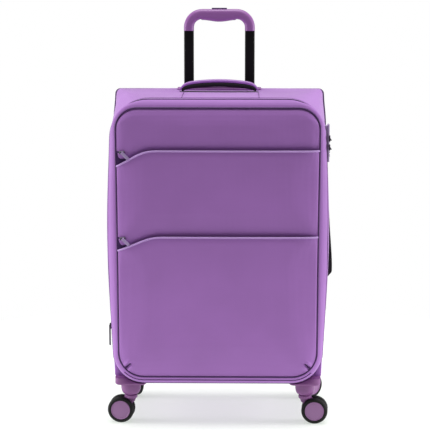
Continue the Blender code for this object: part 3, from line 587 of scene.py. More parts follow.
class SUITCASE_OT_shell(bpy.types.Operator):
    """Makes the fabric of the main shell, the back and the expansion ring"""
    bl_idname = "suitcase.shell"
    bl_label = "Shell and ring"

    def execute(self, context):
        sizes = context.scene.suitcase_sizes
        bm = loft(filled_in(SHELL_SKIN, 0.010))
        cut_well(bm)
        flare(bm)
        ripple(bm, 0.0012, 9.0)
        shell = piece("shell_fabric", bm, ["fabric", "lining"], "case", 40,
                      replaces=["rear_shell"])
        thicken(shell, sizes.fabric, 1)

        bm = loft(filled_in(RING_SKIN, 0.004))
        ripple(bm, 0.0004, 14.0)
        ring = piece("ring_fabric", bm, ["fabric", "lining"], "expansion", 40,
                     replaces=["expansion_ring"])
        thicken(ring, sizes.fabric, 1)
        self.back()
        self.seams()
        dress("lining_panel", "lining")
        self.sleeve()
        return {"FINISHED"}

    def sleeve(self):
        """The gusset that folds behind the ring, slack and slightly rippled."""
        deep = Section(cad("expansion_sleeve", 1, 1), 0.0078, 0.0078, SIDE_BULGE, 0.074, 0.058)
        sewn = deep._replace(y=RING_REAR - 0.0080, inset=0.0033, rise=0.0035,
                             top_radius=0.076, low_radius=0.060)
        bm = loft(filled_in((sewn, sewn._replace(y=RING_REAR - 0.0040),
                             deep._replace(y=RING_REAR + 0.0010), deep), 0.004))
        ripple(bm, 0.0008, 30.0)
        made = piece("gusset_cloth", bm, ["lining"], "expansion", 60,
                     replaces=["expansion_sleeve"])
        thicken(made, 0.0012)

    def back(self):
        """The back panel, slightly crowned, with its edge turned in."""
        flat = Section(SQUARE_END, 0.0016, 0.0016, 0.008, 0.013, 0.013)
        steps = ((-0.0035, 0.0), (0.0, 0.0), (0.0009, 0.0012), (0.0011, 0.006))
        bm = loft([flat._replace(y=flat.y + back, inset=flat.inset + step, rise=flat.rise + step)
                   for back, step in steps], closed=True)
        flare(bm)
        piece("back_fabric", bm, ["fabric"], "case", 40, replaces=["back_panel"])

    def seams(self):
        """Dark welts where the walls meet the back, and along the zips' grooves."""
        back = outline_points(Section(BACK - 0.0012, -0.0016, 0.0022, 0.008, 0.010, 0.014))
        zip_line = outline_points(Section((RING_REAR + SHELL_FRONT) / 2, 0.0006, 0.0005,
                                          SIDE_BULGE, 0.078, 0.062))
        lines = {
            "back_welt": (back, 0.0017, "case", True),
            "expansion_zip": (zip_line, 0.0008, "expansion", True),
        }
        for end, x in (("left", -0.0725), ("right", 0.0820)):
            run = [(x, 0.030 - 0.0060 * i, CASE_TOP + 0.0001) for i in range(21)]
            lines[f"top_seam_{end}"] = (run, 0.0007, "case", False)
        for end, sign in (("left", -1), ("right", 1)):
            run = [(sign * (side(SIDE_SEAM_Z) + 0.0003), 0.128 - 0.0078 * i, SIDE_SEAM_Z)
                   for i in range(29)]
            lines[f"side_seam_{end}"] = (run, 0.0008, "case", False)
        for name, (points, radius, body, closed) in lines.items():
            bm = cord_form(points, radius, closed=closed)
            if name == "back_welt":
                flare(bm)
            piece(name, bm, ["piping"], body, 180)


def cut_well(bm):
    """Opens the top where the trolley grip's well sits."""
    low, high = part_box("handle_well")
    inset = 0.005
    walls = {0: (low[0] - MID_X + inset, high[0] - MID_X - inset),
             1: (low[1] + inset, high[1] - inset)}
    for axis, places in walls.items():
        slice_along(bm, axis, places)
    inside = [
        f for f in bm.faces
        if f.calc_center_median().z > CASE_TOP - 0.02
        and all(walls[a][0] - 1e-5 < v.co[a] < walls[a][1] + 1e-5 for v in f.verts for a in (0, 1))
    ]
    bmesh.ops.delete(bm, geom=inside, context="FACES")


# ------------------------------------------------------------- lid and pockets

def mouth_height(x, mouth, drop=0.0):
    """The height of a pocket's mouth, which turns down towards the left."""
    past = max(0.0, mouth.start - x)
    if past < MOUTH_BEND:
        return mouth.height - drop - mouth.slope * past ** 2 / (2 * MOUTH_BEND)
    return mouth.height - drop - mouth.slope * (past - MOUTH_BEND / 2)


def inside_piping(x, top):
    """The lowest or highest z inside the piping at x, past its rounded corners."""
    piping = LID_SKIN[1]
    half = TOP_WIDTH / 2 - piping.inset - PIPING_ROOM
    if top:
        edge, radius, sign = CASE_TOP - piping.rise - PIPING_ROOM, PIPING_TOP_RADIUS, -1
    else:
        edge, radius, sign = CASE_FLOOR + piping.rise + PIPING_ROOM, PIPING_LOW_RADIUS, 1
    past = max(0.0, abs(x) - (half - radius))
    return edge + sign * (radius - max(0.0, radius ** 2 - past ** 2) ** 0.5)


def panel_sheet(columns, rows, low, high):
    """A grid drawn onto the front between two edges that are functions of x."""
    bm = bmesh.new()
    bmesh.ops.create_grid(bm, x_segments=columns, y_segments=rows, size=1.0,
                          matrix=Matrix.Rotation(radians(90), 4, "X"))
    piping = LID_SKIN[1]
    base = TOP_WIDTH / 2 - piping.inset - PIPING_ROOM
    for vert in bm.verts:
        across = sin(vert.co.x * pi / 2)
        up = (vert.co.z + 1) / 2
        x = across * base
        bottom, top = low(x), high(x)
        z = bottom + (top - bottom) * up
        vert.co = (across * (side(z, piping.bulge) - piping.inset - PIPING_ROOM), LID_FRONT, z)
    return bm


def settle(made, cap, pinned, pressure=4.0, frames=20):
    """Swells a pinned sheet as cloth under light pressure, then keeps the result."""
    group = made.vertex_groups.new(name="sewn")
    rest = [v.co.copy() for v in made.data.vertices]
    for vert in made.data.vertices:
        group.add([vert.index], pinned(vert.co), "REPLACE")
    cloth = made.modifiers.new("swell", "CLOTH")
    cloth.settings.vertex_group_mass = "sewn"
    cloth.settings.use_pressure = True
    cloth.settings.uniform_pressure_force = pressure
    cloth.settings.quality = 5
    cloth.settings.tension_stiffness = 25
    cloth.settings.bending_stiffness = 8
    cloth.settings.effector_weights.gravity = 0.0
    scene = bpy.context.scene
    for step in range(1, frames + 1):
        scene.frame_set(step)
    shaped = made.evaluated_get(bpy.context.evaluated_depsgraph_get()).to_mesh()
    moves = [new.co - old for new, old in zip(shaped.vertices, rest)]
    for vert, old, move in zip(made.data.vertices, rest, moves):
        if move.length > cap:
            move = move.normalized() * cap
        vert.co = old + move
    made.modifiers.remove(cloth)
    made.vertex_groups.remove(group)
    scene.frame_set(1)


class SUITCASE_OT_lid(bpy.types.Operator):
    """Makes the lid's gusset, piping, front panel and zip"""
    bl_idname = "suitcase.lid"
    bl_label = "Lid"

    def execute(self, context):
        sizes = context.scene.suitcase_sizes
        bm = loft(filled_in(LID_SKIN, 0.003))
        ripple(bm, 0.0003, 16.0)
        gusset = piece("lid_gusset", bm, ["fabric", "lining"], "lid", 40,
                       replaces=["lid_panel"])
        thicken(gusset, sizes.fabric, 1)

        line = LID_SKIN[1]._replace(y=LID_FRONT - 0.0006)
        bm = cord_form(outline_points(line), sizes.piping, closed=True)
        piece("lid_piping", bm, ["piping"], "lid", 180)
        groove = Section((LID_REAR + RING_FRONT) / 2, 0.0013, 0.0006, 0.0085, 0.075, 0.062)
        bm = cord_form(outline_points(groove), 0.0009, closed=True)
        piece("main_zip", bm, ["piping"], "expansion", 180)

        low_edge = [co for co in outline_points(LID_SKIN[3]) if co.z < CASE_FLOOR + 0.030]
        low_edge.sort(key=lambda co: co.x)
        bm = cord_form([co + Vector((0, -0.0004, -0.0002)) for co in low_edge], 0.0007)
        piece("lid_low_seam", bm, ["piping"], "lid", 180)

        bm = panel_sheet(72, 100, lambda x: inside_piping(x, False),
                         lambda x: inside_piping(x, True))
        for vert in bm.verts:
            x, z = vert.co.x, vert.co.z
            above = max(0.0, z - mouth_height(x, MOUTHS["upper"]) + 0.0035)
            recess = exp(-(above / 0.012) ** 2)
            swell = sizes.crown * (1 - exp(-piping_gap(x, z) / 0.010))
            vert.co.y += 0.0010 * recess - swell * (1 - recess)
        panel = piece("front_panel", bm, ["fabric", "lining"], None, 180)
        settle(panel, sizes.swell_limit, lambda co: 1.0 if piping_gap(
            co.x - MID_X, co.z) < 0.006 else 0.0)
        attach(panel, "lid")
        thicken(panel, 0.0022, 1)
        soften(panel)
        return {"FINISHED"}


def piping_gap(x, z):
    """How far a point on the front lies inside the piping."""
    return max(0.0, min(
        side(z, LID_SKIN[1].bulge) - LID_SKIN[1].inset - abs(x),
        z - inside_piping(x, False),
        inside_piping(x, True) - z,
    ))


class SUITCASE_OT_pockets(bpy.types.Operator):
    """Makes both front pockets, their hems, zips and the badge"""
    bl_idname = "suitcase.pockets"
    bl_label = "Pockets"

    def execute(self, context):
        sizes = context.scene.suitcase_sizes
        for name, mouth in MOUTHS.items():
            self.pocket(name, mouth, sizes)
        self.badge()
        return {"FINISHED"}

    def pocket(self, name, mouth, sizes):
        """A padded panel that stands off the lid along its mouth."""
        def low(x):
            if name == "lower":
                return inside_piping(x, False)
            return mouth_height(x, MOUTHS["lower"]) - 0.004
        bm = panel_sheet(72, 56 if name == "lower" else 40, low,
                         lambda x: mouth_height(x, mouth))
        for vert in bm.verts:
            x, z = vert.co.x, vert.co.z
            gap = piping_gap(x, z)
            ends = 1 - exp(-gap / 0.012)
            rise = 1 - exp(-max(0.0, z - low(x) - 0.003) / 0.012)
            lean = 0.0016 * exp(-max(0.0, mouth_height(x, mouth) - z) / 0.020)
            vert.co.y = LID_FRONT - 0.0008 - (sizes.pocket_stand + lean) * ends * rise
        made = piece(f"{name}_pocket_panel", bm, ["fabric", "lining"], None, 180,
                     replaces=[f"pocket_{name}"])

        def pinned(co):
            x = co.x - MID_X
            if piping_gap(x, co.z) < 0.006 or co.z - low(x) < 0.004:
                return 1.0
            return 0.7 if mouth_height(x, mouth) - co.z < 0.008 else 0.0
        settle(made, sizes.swell_limit, pinned, 5.0)
        if name == "lower":
            add_darts(made)
            for sign in (-1, 1):
                self.dart_painted_shade_line(made, sign)
        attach(made, "lid")
        thicken(made, 0.0020, 1)
        soften(made)
        self.hem(name, mouth, made, sizes)
        self.zip_tape(name, mouth)

    def dart_painted_shade_line(self, panel, sign):
        """A dark cord along each tuck's crease: painted shade for the shadow in the fold."""
        start, along = dart(sign)
        points = []
        for i in range(9):
            at = start + along * (-0.0030 + 0.0016 * i)
            near = min(panel.data.vertices,
                       key=lambda v: (v.co.x - at.x) ** 2 + (v.co.z - at.z) ** 2)
            points.append(Vector((at.x, near.co.y - 0.0025, at.z)))
        bm = cord_form(points, 0.0011)
        end = "left" if sign < 0 else "right"
        # The dark cord is painted shade in the crease.
        piece(f"dart_{end}", bm, ["piping"], "lid", 180, centred=False)

    def zip_tape(self, name, mouth):
        """The dark end of the zip, which shows where the mouth turns down; its dark colour is partly
        painted shade for the opening there.
        """
        end = -side(mouth.height, LID_SKIN[1].bulge) + LID_SKIN[1].inset + 0.0012
        run = 0.0255
        bm = bmesh.new()
        bmesh.ops.create_grid(bm, x_segments=10, y_segments=8, size=1.0,
                              matrix=Matrix.Rotation(radians(90), 4, "X"))
        for vert in bm.verts:
            share = (vert.co.x + 1) / 2
            up = (vert.co.z + 1) / 2
            x = end + run * share
            low = mouth_height(x, mouth) - 0.004
            high = mouth.height - 0.0010 + (mouth_height(end + run, mouth) - mouth.height) * share
            vert.co = (x, LID_FRONT - 0.0022 - 0.0008 * sin(pi * up), low + (high - low) * up)
        coil = cord_form([(end + run * i / 12, LID_FRONT - 0.0030,
                           mouth.height - 0.0026 - 0.0060 * i / 12) for i in range(11)], 0.0018)
        join_into(bm, coil)
        piece(f"{name}_pocket_zip", bm, ["tape"], "lid", 60)

    def hem(self, name, mouth, panel, sizes):
        """The rolled edge along a pocket's mouth, in a paler finish that is a painted highlight."""
        rim = [v.co for v in panel.data.vertices
               if abs(v.co.z - mouth_height(v.co.x - MID_X, mouth)) < 0.0030]
        places = {}
        for co in rim:
            key = round(co.x, 4)
            if key not in places or co.z > places[key].z:
                places[key] = co
        points = [places[key] + Vector((0, -0.0002, -0.0004)) for key in sorted(places)]
        bm = cord_form(points, sizes.hem)
        # The hem's paler finish is a painted highlight.
        piece(f"{name}_pocket_hem", bm, ["hem"], "lid", 180, centred=False)

    def badge(self):
        """A thin plate with both corners of its right end cut off."""
        low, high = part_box("badge")
        bm = bmesh.new()
        cut = 0.003
        outline = [(low[0], low[2]), (high[0] - cut, low[2]), (high[0], low[2] + cut),
                   (high[0] - cut, high[2]), (low[0], high[2])]
        face = bm.faces.new([bm.verts.new((x, low[1], z)) for x, z in outline])
        pull_out(bm, [face], (0, high[1] + 0.003 - low[1], 0))
        bmesh.ops.recalc_face_normals(bm, faces=bm.faces)
        rims = [e for e in bm.edges if all(v.co.y < low[1] + 1e-6 for v in e.verts)]
        round_off(bm, rims, 0.0006, 2)
        piece("badge_plate", bm, ["badge"], "lid", 30, centred=False,
              replaces=["badge"])


DART_OUT, DART_UP = 0.1838, 0.1270      # from the mid plane, and from the floor
DART_REACH = 0.022


def dart(sign):
    """Where a tuck starts and the way it runs."""
    start = Vector((MID_X + sign * DART_OUT, 0, DART_UP))
    return start, Vector((-sign * 0.72, 0, 0.69)).normalized()


def add_darts(made):
    """Presses a short diagonal tuck into each of the lower pocket's bottom corners."""
    bm = bmesh.new()
    bm.from_mesh(made.data)
    for sign in (-1, 1):
        start, along = dart(sign)
        near = [e for e in bm.edges
                if all((Vector((v.co.x, 0, v.co.z)) - start).length < DART_REACH for v in e.verts)]
        bmesh.ops.subdivide_edges(bm, edges=near, cuts=3, use_grid_fill=True)
        for vert in bm.verts:
            flat = Vector((vert.co.x, 0, vert.co.z)) - start
            run = flat.dot(along)
            off = (flat - along * run).length
            fade = exp(-((run - 0.004) / 0.0075) ** 2)
            vert.co.y += fade * (0.0065 * exp(-(off / 0.0030) ** 2)
                                 - 0.0026 * exp(-((off - 0.0062) / 0.0032) ** 2))
    bm.to_mesh(made.data)
    bm.free()
    made.data.shade_smooth()


# ------------------------------------------------------------- trolley handle

class SUITCASE_OT_trolley(bpy.types.Operator):
    """Makes the arched grip, its button, the tubes and the well's finish"""
    bl_idname = "suitcase.trolley"
    bl_label = "Trolley handle"

    def execute(self, context):
        sizes = context.scene.suitcase_sizes
        self.grip(sizes)
        self.tubes()
        for node, finish in (("handle_well", "trim"), ("middle_bridge", "black"),
                             ("trolley_foot", "black"), ("outer_tube_left", "tube"),
                             ("outer_tube_right", "tube"), ("middle_tube_left", "tube"),
                             ("middle_tube_right", "tube")):
            dress(node, finish)
        return {"FINISHED"}

    def grip(self, sizes):
        """A rounded section drawn up one leg, spun round the corners and down the other."""
        low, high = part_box("trolley_grip")
        leg = middle("inner_tube_right", 0) - MID_X
        wide, deep = (high[0] - MID_X - leg) * 2, high[1] - low[1]
        turn = 0.0277
        y = (low[1] + high[1]) / 2
        bar = high[2] - wide / 2
        thicker = 0.0018
        bm = rounded_plate(leg, y, low[2], wide, deep, 0.0078, 6)
        first = bm.faces[:]

        def move(faces, vec, steps):
            for _ in range(steps):
                old, faces = faces, pull_out(bm, faces, Vector(vec) / steps)
                if old is not first:
                    bmesh.ops.delete(bm, geom=old, context="FACES_ONLY")
            return faces

        def round_corner(faces, centre):
            spun = bmesh.ops.spin(bm, geom=faces, cent=centre, axis=(0, -1, 0),
                                  angle=radians(90), steps=12)
            if faces is not first:
                bmesh.ops.delete(bm, geom=faces, context="FACES_ONLY")
            return [g for g in spun["geom_last"] if isinstance(g, bmesh.types.BMFace)]
        faces = move(first, (0, 0, bar - turn - low[2]), 2)
        faces = round_corner(faces, (leg - turn, y, bar - turn))
        faces = move(faces, (-2 * (leg - turn), 0, 0), 24)
        faces = round_corner(faces, (turn - leg, y, bar - turn))
        move(faces, (0, 0, low[2] - bar + turn), 2)
        flat = leg - turn
        for vert in bm.verts:
            inner = (bar - vert.co.z) / (wide / 2)
            if abs(vert.co.x) < flat and 0 < inner < 1.01:
                wave = sizes.swell * cos(pi * vert.co.x / (2 * flat)) ** 2
                vert.co.z -= min(1.0, inner * 1.5) * (thicker + wave)
        bmesh.ops.recalc_face_normals(bm, faces=bm.faces)
        piece("grip_arch", bm, ["trim"], "trolley_handle", 50,
              replaces=["trolley_grip"])

        low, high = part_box("grip_button")
        bm = box_form(low, high, 0.0014, 3)
        piece("grip_push_button", bm, ["piping"], "grip_button", 40, centred=False,
              replaces=["grip_button"])

    def tubes(self):
        """Rounded flat tubes, each with the dimple of its lock pin near the grip."""
        for name in ("left", "right"):
            low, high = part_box(f"inner_tube_{name}")
            low, high = Vector(low), Vector(high)
            centre = (low + high) / 2
            bm = rounded_plate(centre.x, centre.y, low.z, high.x - low.x, high.y - low.y, 0.0035, 4)
            pull_out(bm, bm.faces[:], (0, 0, high.z - low.z))
            bmesh.ops.recalc_face_normals(bm, faces=bm.faces)
            dimple = turned([(0, -0.0002), (0.0021, -0.0002), (0.0026, 0.0001), (0.0030, 0.0001),
                             (0.0030, -0.0012), (0, -0.0012)], 24)
            join_into(bm, dimple, Matrix.Translation(
                (centre.x, low.y, high.z - 0.0135)) @ Matrix.Rotation(radians(90), 4, "X"))
            piece(f"inner_tube_{name}_enamelled", bm, ["tube"], "trolley_handle", 40,
                  centred=False, replaces=[f"inner_tube_{name}"])


# ------------------------------------------------------------- carry handles

HANDLE_WIDTH = 0.030
TOP_HANDLE_THICK = (0.0142, 0.0046)     # pad with strap, then the strap alone
SIDE_HANDLE_THICK = (0.0085, 0.0024)


def arch(share, rise, foot):
    """A handle's height at a share of its half length: nearly level, then steep ends."""
    share = min(1.0, abs(share))
    return foot + (rise - foot) * (0.42 * (1 - share ** 2) + 0.58 * (1 - share ** 12))


def hanging(share, rise, foot):
    """A side handle's stand-off, most near its lower end, where it hangs out."""
    ramp = 0.22 + 0.60 * smooth_step((share + 0.95) / 1.65)
    return foot + (rise - foot) * ramp * (1 - abs(share) ** 10) * (
        1 - smooth_step((share - 0.72) / 0.18))


class SUITCASE_OT_handles(bpy.types.Operator):
    """Makes the padded carry handles on the top and the side"""
    bl_idname = "suitcase.handles"
    bl_label = "Carry handles"

    def execute(self, context):
        low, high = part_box("top_handle")
        top = Matrix.Translation((middle("top_handle", 0), middle("top_handle", 1), CASE_TOP))
        self.handle("top", top, high[2] - CASE_TOP, TOP_HANDLE_THICK, (high[0] - low[0]) / 2,
                    arch, "fabric", ("left", "right"))
        low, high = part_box("side_handle")
        surface = cad("side_handle_tab_upper", 0, 0)
        place = Matrix.Translation((surface, middle("side_handle", 1), middle("side_handle", 2)))
        turn = Matrix.Rotation(radians(90), 4, "Y")
        self.handle("side", place @ turn, high[0] - surface, SIDE_HANDLE_THICK,
                    (high[2] - low[2]) / 2, hanging, "webbing", ("upper", "lower"))
        return {"FINISHED"}

    def handle(self, name, place, rise, thicknesses, half, profile, finish, ends):
        """A strap over a thick pad, both bent to one line; Z stands off the case."""
        wide = HANDLE_WIDTH
        thick, strap_thick = thicknesses
        pad_half = half * 0.95
        cuts = [half * (i / 28 - 1) for i in range(1, 56)]
        pad = box_form((-pad_half, -wide / 2, -thick + strap_thick),
                       (pad_half, wide / 2, 0.0), 0.0040, 4)
        slice_along(pad, 0, [c for c in cuts if abs(c) < pad_half - 0.003])
        for vert in pad.verts:
            base = profile(vert.co.x / half, rise - strap_thick, 0.0035)
            vert.co.z = max(0.0005 + 0.1 * max(0.0, vert.co.z + thick), vert.co.z + base)
        pad.transform(place)
        made = piece(f"{name}_pad", pad, ["webbing"], f"{name}_handle", 60, centred=False,
                     replaces=[f"{name}_handle"])
        strap = box_form((-half, -wide / 2 + 0.001, 0.0),
                         (half, wide / 2 - 0.001, strap_thick), 0.0010, 2)
        slice_along(strap, 0, cuts)
        for vert in strap.verts:
            vert.co.z += profile(vert.co.x / half, rise - strap_thick, 0.0008)
        strap.transform(place)
        piece(f"{name}_strap", strap, [finish], f"{name}_handle", 60, centred=False,
              replaces=[f"{name}_handle_tab_{end}" for end in ends])


# ------------------------------------------------------------- casters

PLATE_HANGS = 0.0045        # how far a bracket's plate hangs under the case
UPSTAND_SHORT = 0.0050      # how far the upstand ends under the CAD bracket's top
WHEEL_HALF = 0.00575        # half a wheel's thickness
DISC_SHARE = 0.735          # the hub disc's share of a wheel's radius
ARM_THICK = 0.0066
ARM_END = 0.0075            # radius of the fork arm's round end


class SUITCASE_OT_casters(bpy.types.Operator):
    """Makes the corner brackets, forks, axles and wheels"""
    bl_idname = "suitcase.casters"
    bl_label = "Casters"

    def execute(self, context):
        sizes = context.scene.suitcase_sizes
        for joint in frame["joints"]:
            if joint["name"].startswith("swivel_"):
                key = joint["child"][len("swivel_"):]
                self.bracket(key, Vector(joint["pos_m"]), sizes)
                self.fork(key, Vector(joint["pos_m"]), sizes)
            if joint["name"].startswith("wheel_"):
                self.wheel(joint["child"], sizes)
        return {"FINISHED"}

    def bracket(self, key, axis, sizes):
        """A moulded corner with the domed cup that holds the stem."""
        low, high = (Vector(c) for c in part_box(f"caster_bracket_{key}"))
        plate_low = CASE_FLOOR - PLATE_HANGS
        front = key.startswith("front")
        top = high.z - UPSTAND_SHORT if front else CASE_FLOOR - 0.0003
        bm = box_form((low.x, low.y, plate_low), (high.x, high.y, top))
        upright = [e for e in bm.edges if abs(e.verts[0].co.z - e.verts[1].co.z) > 1e-4]
        round_off(bm, upright, 0.012, 6)
        lower = [e for e in bm.edges if all(v.co.z < plate_low + 1e-5 for v in e.verts)
                 and len(e.link_faces) == 2]
        round_off(bm, lower, 0.0035, 4)
        made = piece(f"{key}_bracket", bm, ["bracket"], "case", 35, centred=False)
        if front:
            clear_case(made)
        dome = turned([
            (0.0116, 0.0600), (0.0136, 0.0600), (0.0162, 0.0614), (0.0183, 0.0645),
            (0.0196, 0.0690), (0.0202, 0.0740), (0.0203, 0.0790), (0.0200, 0.0835),
            (0.0202, 0.0858), (0.0202, 0.0880), (0.0116, 0.0880),
        ], sizes.segments, closed=True)
        bmesh.ops.translate(dome, verts=dome.verts, vec=(axis.x, axis.y, 0))
        piece(f"{key}_dome", dome, ["bracket"], "case", 40, centred=False,
              replaces=[f"caster_bracket_{key}"])

    def fork(self, key, axis, sizes):
        """The crown under the dome and the arm that reaches the axle."""
        hub = (wheel_centre(f"wheel_{key}_a") + wheel_centre(f"wheel_{key}_b")) / 2
        heading = hub - axis
        heading.z = 0
        trail = heading.length
        turn = Matrix.Translation((axis.x, axis.y, 0)) @ Vector((1, 0, 0)).rotation_difference(
            heading.normalized()).to_matrix().to_4x4()
        bm = turned([(0, 0.0500), (0.0104, 0.0502), (0.0128, 0.0518), (0.0136, 0.0545),
                     (0.0132, 0.0575), (0.0110, 0.0590), (0.0108, 0.0800), (0, 0.0800)],
                    sizes.segments)
        arm = bmesh.new()
        outline = [(trail + ARM_END * cos(radians(a)), hub.z + ARM_END * sin(radians(a)))
                   for a in range(-150, 31, 20)]
        outline += [(0.0140, 0.0530), (-0.0110, 0.0530), (-0.0080, 0.0440), (0.0040, 0.0330)]
        face = arm.faces.new([arm.verts.new((x, -ARM_THICK / 2, z)) for x, z in outline])
        pull_out(arm, [face], (0, ARM_THICK, 0))
        bmesh.ops.recalc_face_normals(arm, faces=arm.faces)
        rims = [e for e in arm.edges if abs(e.verts[0].co.y - e.verts[1].co.y) < 1e-6]
        round_off(arm, rims, 0.0010, 2)
        join_into(bm, arm)
        bm.transform(turn)
        piece(f"{key}_fork", bm, ["bracket"], f"swivel_{key}", 35, centred=False,
              replaces=[f"caster_fork_{key}"])
        dress(f"caster_axle_{key}", "steel")

    def wheel(self, key, sizes):
        """A rounded tyre round a dished disc; the disc faces away from the fork."""
        low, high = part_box(key)
        centre = wheel_centre(key)
        radius = (high[2] - low[2]) / 2
        partner = key[:-1] + ("b" if key.endswith("a") else "a")
        outward = (centre - wheel_centre(partner)).normalized()
        half = WHEEL_HALF
        disc = radius * DISC_SHARE
        tyre = turned([
            (disc - 0.001, half - 0.0030), (disc, half - 0.0012), (disc + 0.0008, half - 0.0002),
            (disc + 0.0022, half), (radius - 0.0026, half - 0.0008), (radius - 0.0009, half - 0.0024),
            (radius, half - 0.0048), (radius, 0.0048 - half), (radius - 0.0009, 0.0022 - half),
            (radius - 0.0028, 0.0004 - half), (radius - 0.0050, -half), (0.012, -half),
            (0.012, 0.0),
        ], sizes.segments, closed=True)
        hub = turned([
            (0, half - 0.0006), (disc * 0.30, half - 0.0006), (disc * 0.62, half - 0.0008),
            (disc * 0.88, half - 0.0011), (disc - 0.0016, half - 0.0004), (disc - 0.0006, half - 0.0003),
            (disc - 0.0001, half - 0.0010), (disc - 0.0001, half - 0.0035), (0, half - 0.0035),
        ], sizes.segments)
        join_into(tyre, hub, None, 1)
        turn = Vector((0, 0, 1)).rotation_difference(outward).to_matrix().to_4x4()
        tyre.transform(Matrix.Translation(centre) @ turn)
        piece(f"{key}_tyre_and_hub", tyre, ["tyre", "hub"], key, 35, centred=False,
              replaces=[key])


def wheel_centre(key):
    """Where a wheel turns about its axle."""
    return next(Vector(j["pos_m"]) for j in frame["joints"] if j["child"] == key)


def clear_case(made):
    """Cuts a front bracket back from the rounded lid and ring, and from the shell."""
    ring = Section(0, -0.0012, -0.0012, SIDE_BULGE, 0.056, 0.063)
    shell = Section(0, -0.0300, 0.0, SIDE_BULGE, 0.056, 0.010)
    for section, start, end in ((ring, LID_FRONT - 0.03, SHELL_FRONT - 0.0004),
                                (shell, SHELL_FRONT - 0.0006, 0.0)):
        bm = loft([section._replace(y=y) for y in (start, end)], closed=True)
        tool = piece("room", bm, [], None)
        cut = made.modifiers.new("room", "BOOLEAN")
        cut.operation = "DIFFERENCE"
        cut.object = tool
        bpy.context.view_layer.update()
        mesh = bpy.data.meshes.new_from_object(
            made.evaluated_get(bpy.context.evaluated_depsgraph_get()))
        made.modifiers.remove(cut)
        made.data = mesh
        bpy.data.objects.remove(tool)


# ------------------------------------------------------------- lock and sliders

class SUITCASE_OT_lock(bpy.types.Operator):
    """Finishes the lock, its dials and the zip sliders"""
    bl_idname = "suitcase.lock"
    bl_label = "Lock and sliders"

    def execute(self, context):
        looks = {
            "lock": ("lock_body",),
            "pull": ("pocket_puller_upper", "pocket_puller_lower"),
            "zinc": ("main_slider_upper", "main_slider_lower", "pocket_slider_upper",
                     "pocket_slider_lower"),
            "black": ("lock_dial_1", "lock_dial_2", "lock_dial_3", "lock_release"),
            "steel": ("lock_cylinder",),
        }
        for finish, nodes in looks.items():
            for node in nodes:
                dress(node, finish)
        self.expansion_slider()
        return {"FINISHED"}

    def expansion_slider(self):
        """A domed slider with its tag turned a little outwards, as it hangs."""
        low, high = (Vector(c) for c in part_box("expansion_slider"))
        bm = box_form((low.x - 0.0010, low.y, high.z - 0.0115), (high.x + 0.0006, high.y, high.z),
                      0.0013, 3)
        tag = box_form((-0.0008, -0.0032, -0.0400), (0.0008, 0.0032, 0.0020), 0.0007, 3)
        for place in (-0.034, -0.022, -0.010):
            slice_along(tag, 2, [place])
        hang = Matrix.Translation((low.x - 0.0004, middle("expansion_slider", 1),
                                   high.z - 0.0065))
        join_into(bm, tag, hang @ Matrix.Rotation(radians(30), 4, "Z"))
        ring = turned([(0.0018, -0.0006), (0.0024, 0.0), (0.0018, 0.0006), (0.0012, 0.0)], 20,
                      closed=True)
        join_into(bm, ring, hang @ Matrix.Rotation(radians(90), 4, "Y"))
        piece("expansion_slider_and_tag", bm, ["zinc"], "expansion_slider", 35, centred=False,
              replaces=["expansion_slider"])


# ------------------------------------------------------------- studio

CAMERA_ASIDE = 0.0476
CAMERA_AWAY = 3.2
CAMERA_HEIGHT = 0.972
CAMERA_DOWN = 9.453         # degrees below level
CAMERA_TURN = 0.01655       # radians about the upright
SOFTBOX_ASIDE = 1.5


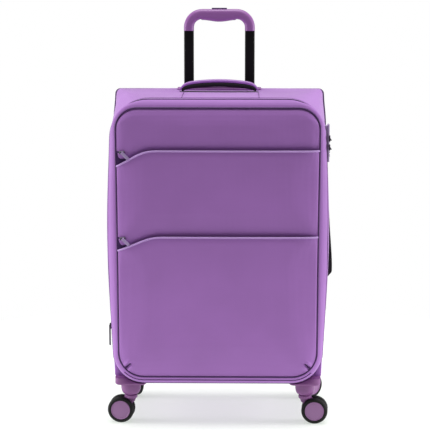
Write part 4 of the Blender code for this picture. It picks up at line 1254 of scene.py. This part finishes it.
class SUITCASE_OT_studio(bpy.types.Operator):
    """Makes the pale floor, the soft lights and the camera"""
    bl_idname = "suitcase.studio"
    bl_label = "Studio"

    def execute(self, context):
        scene = context.scene
        scene.view_settings.view_transform = "Standard"
        bm = bmesh.new()
        bmesh.ops.create_circle(bm, cap_ends=True, segments=64, radius=1.0)
        piece("floor", bm, ["paper"], None, centred=False)
        self.world(scene)
        self.lamps()
        self.camera(scene)
        return {"FINISHED"}

    def world(self, scene):
        """White to the eye, and dimmer as a light."""
        world = bpy.data.worlds.new("studio")
        world.use_nodes = True
        scene.world = world
        tree = world.node_tree
        tree.nodes.clear()
        path = add_node(tree, "ShaderNodeLightPath")
        seen = add_node(tree, "ShaderNodeBackground", {"Color": (1, 1, 1, 1), "Strength": 1.0})
        cast = add_node(tree, "ShaderNodeBackground", {"Color": (1, 1, 1, 1), "Strength": 0.27})
        mixed = add_node(tree, "ShaderNodeMixShader", {
            0: path.outputs["Is Camera Ray"], 1: cast.outputs[0], 2: seen.outputs[0]})
        add_node(tree, "ShaderNodeOutputWorld", {"Surface": mixed.outputs[0]})

    def lamps(self):
        """A wide soft sun overhead and a tall softbox at each side."""
        sun = bpy.data.lights.new("overhead", "SUN")
        sun.energy = 3.0
        sun.angle = radians(50)
        lamp = bpy.data.objects.new("overhead", sun)
        bpy.context.collection.objects.link(lamp)
        for name, x in (("left_softbox", -1), ("right_softbox", 1)):
            light = bpy.data.lights.new(name, "AREA")
            light.shape = "RECTANGLE"
            light.size, light.size_y = 0.5, 1.2
            light.energy = 16
            lamp = bpy.data.objects.new(name, light)
            lamp.location = (x * SOFTBOX_ASIDE, -0.06, 0.55)
            lamp.rotation_euler = (Vector((0, 0.0, 0.40)) - lamp.location).to_track_quat(
                "-Z", "Y").to_euler()
            lamp.visible_camera = False
            bpy.context.collection.objects.link(lamp)

    def camera(self, scene):
        """A long lens in front, a little above, looking down at the case."""
        lens = bpy.data.cameras.new("camera")
        lens.sensor_width = 36.0
        lens.lens = 136.12
        camera = bpy.data.objects.new("camera", lens)
        camera.location = (MID_X + CAMERA_ASIDE, LID_FRONT - CAMERA_AWAY, CAMERA_HEIGHT)
        camera.rotation_euler = (radians(90 - CAMERA_DOWN), 0, CAMERA_TURN)
        bpy.context.collection.objects.link(camera)
        scene.camera = camera


# ------------------------------------------------------------- panel and main

OPERATORS = (
    SUITCASE_OT_shell, SUITCASE_OT_lid, SUITCASE_OT_pockets, SUITCASE_OT_trolley,
    SUITCASE_OT_handles, SUITCASE_OT_casters, SUITCASE_OT_lock, SUITCASE_OT_studio,
)


class SUITCASE_PT_panel(bpy.types.Panel):
    """Lists the suitcase's pieces"""
    bl_idname = "SUITCASE_PT_panel"
    bl_label = "Suitcase"
    bl_space_type = "VIEW_3D"
    bl_region_type = "UI"
    bl_category = "Suitcase"

    def draw(self, context):
        column = self.layout.column()
        for group in (context.scene.suitcase_sizes, context.scene.suitcase_colours):
            for name in group.__annotations__:
                column.prop(group, name)
        for operator in OPERATORS:
            column.operator(operator.bl_idname)


CLASSES = (SuitcaseSizes, SuitcaseColours, *OPERATORS, SUITCASE_PT_panel)


def register():
    for cls in CLASSES:
        bpy.utils.register_class(cls)
    bpy.types.Scene.suitcase_sizes = PointerProperty(type=SuitcaseSizes)
    bpy.types.Scene.suitcase_colours = PointerProperty(type=SuitcaseColours)


def unregister():
    del bpy.types.Scene.suitcase_colours
    del bpy.types.Scene.suitcase_sizes
    for cls in reversed(CLASSES):
        bpy.utils.unregister_class(cls)


def main():
    register()
    make_finishes(bpy.context)
    for operator in OPERATORS:
        group, name = operator.bl_idname.split(".")
        getattr(getattr(bpy.ops, group), name)()


if __name__ == "__main__":
    main()
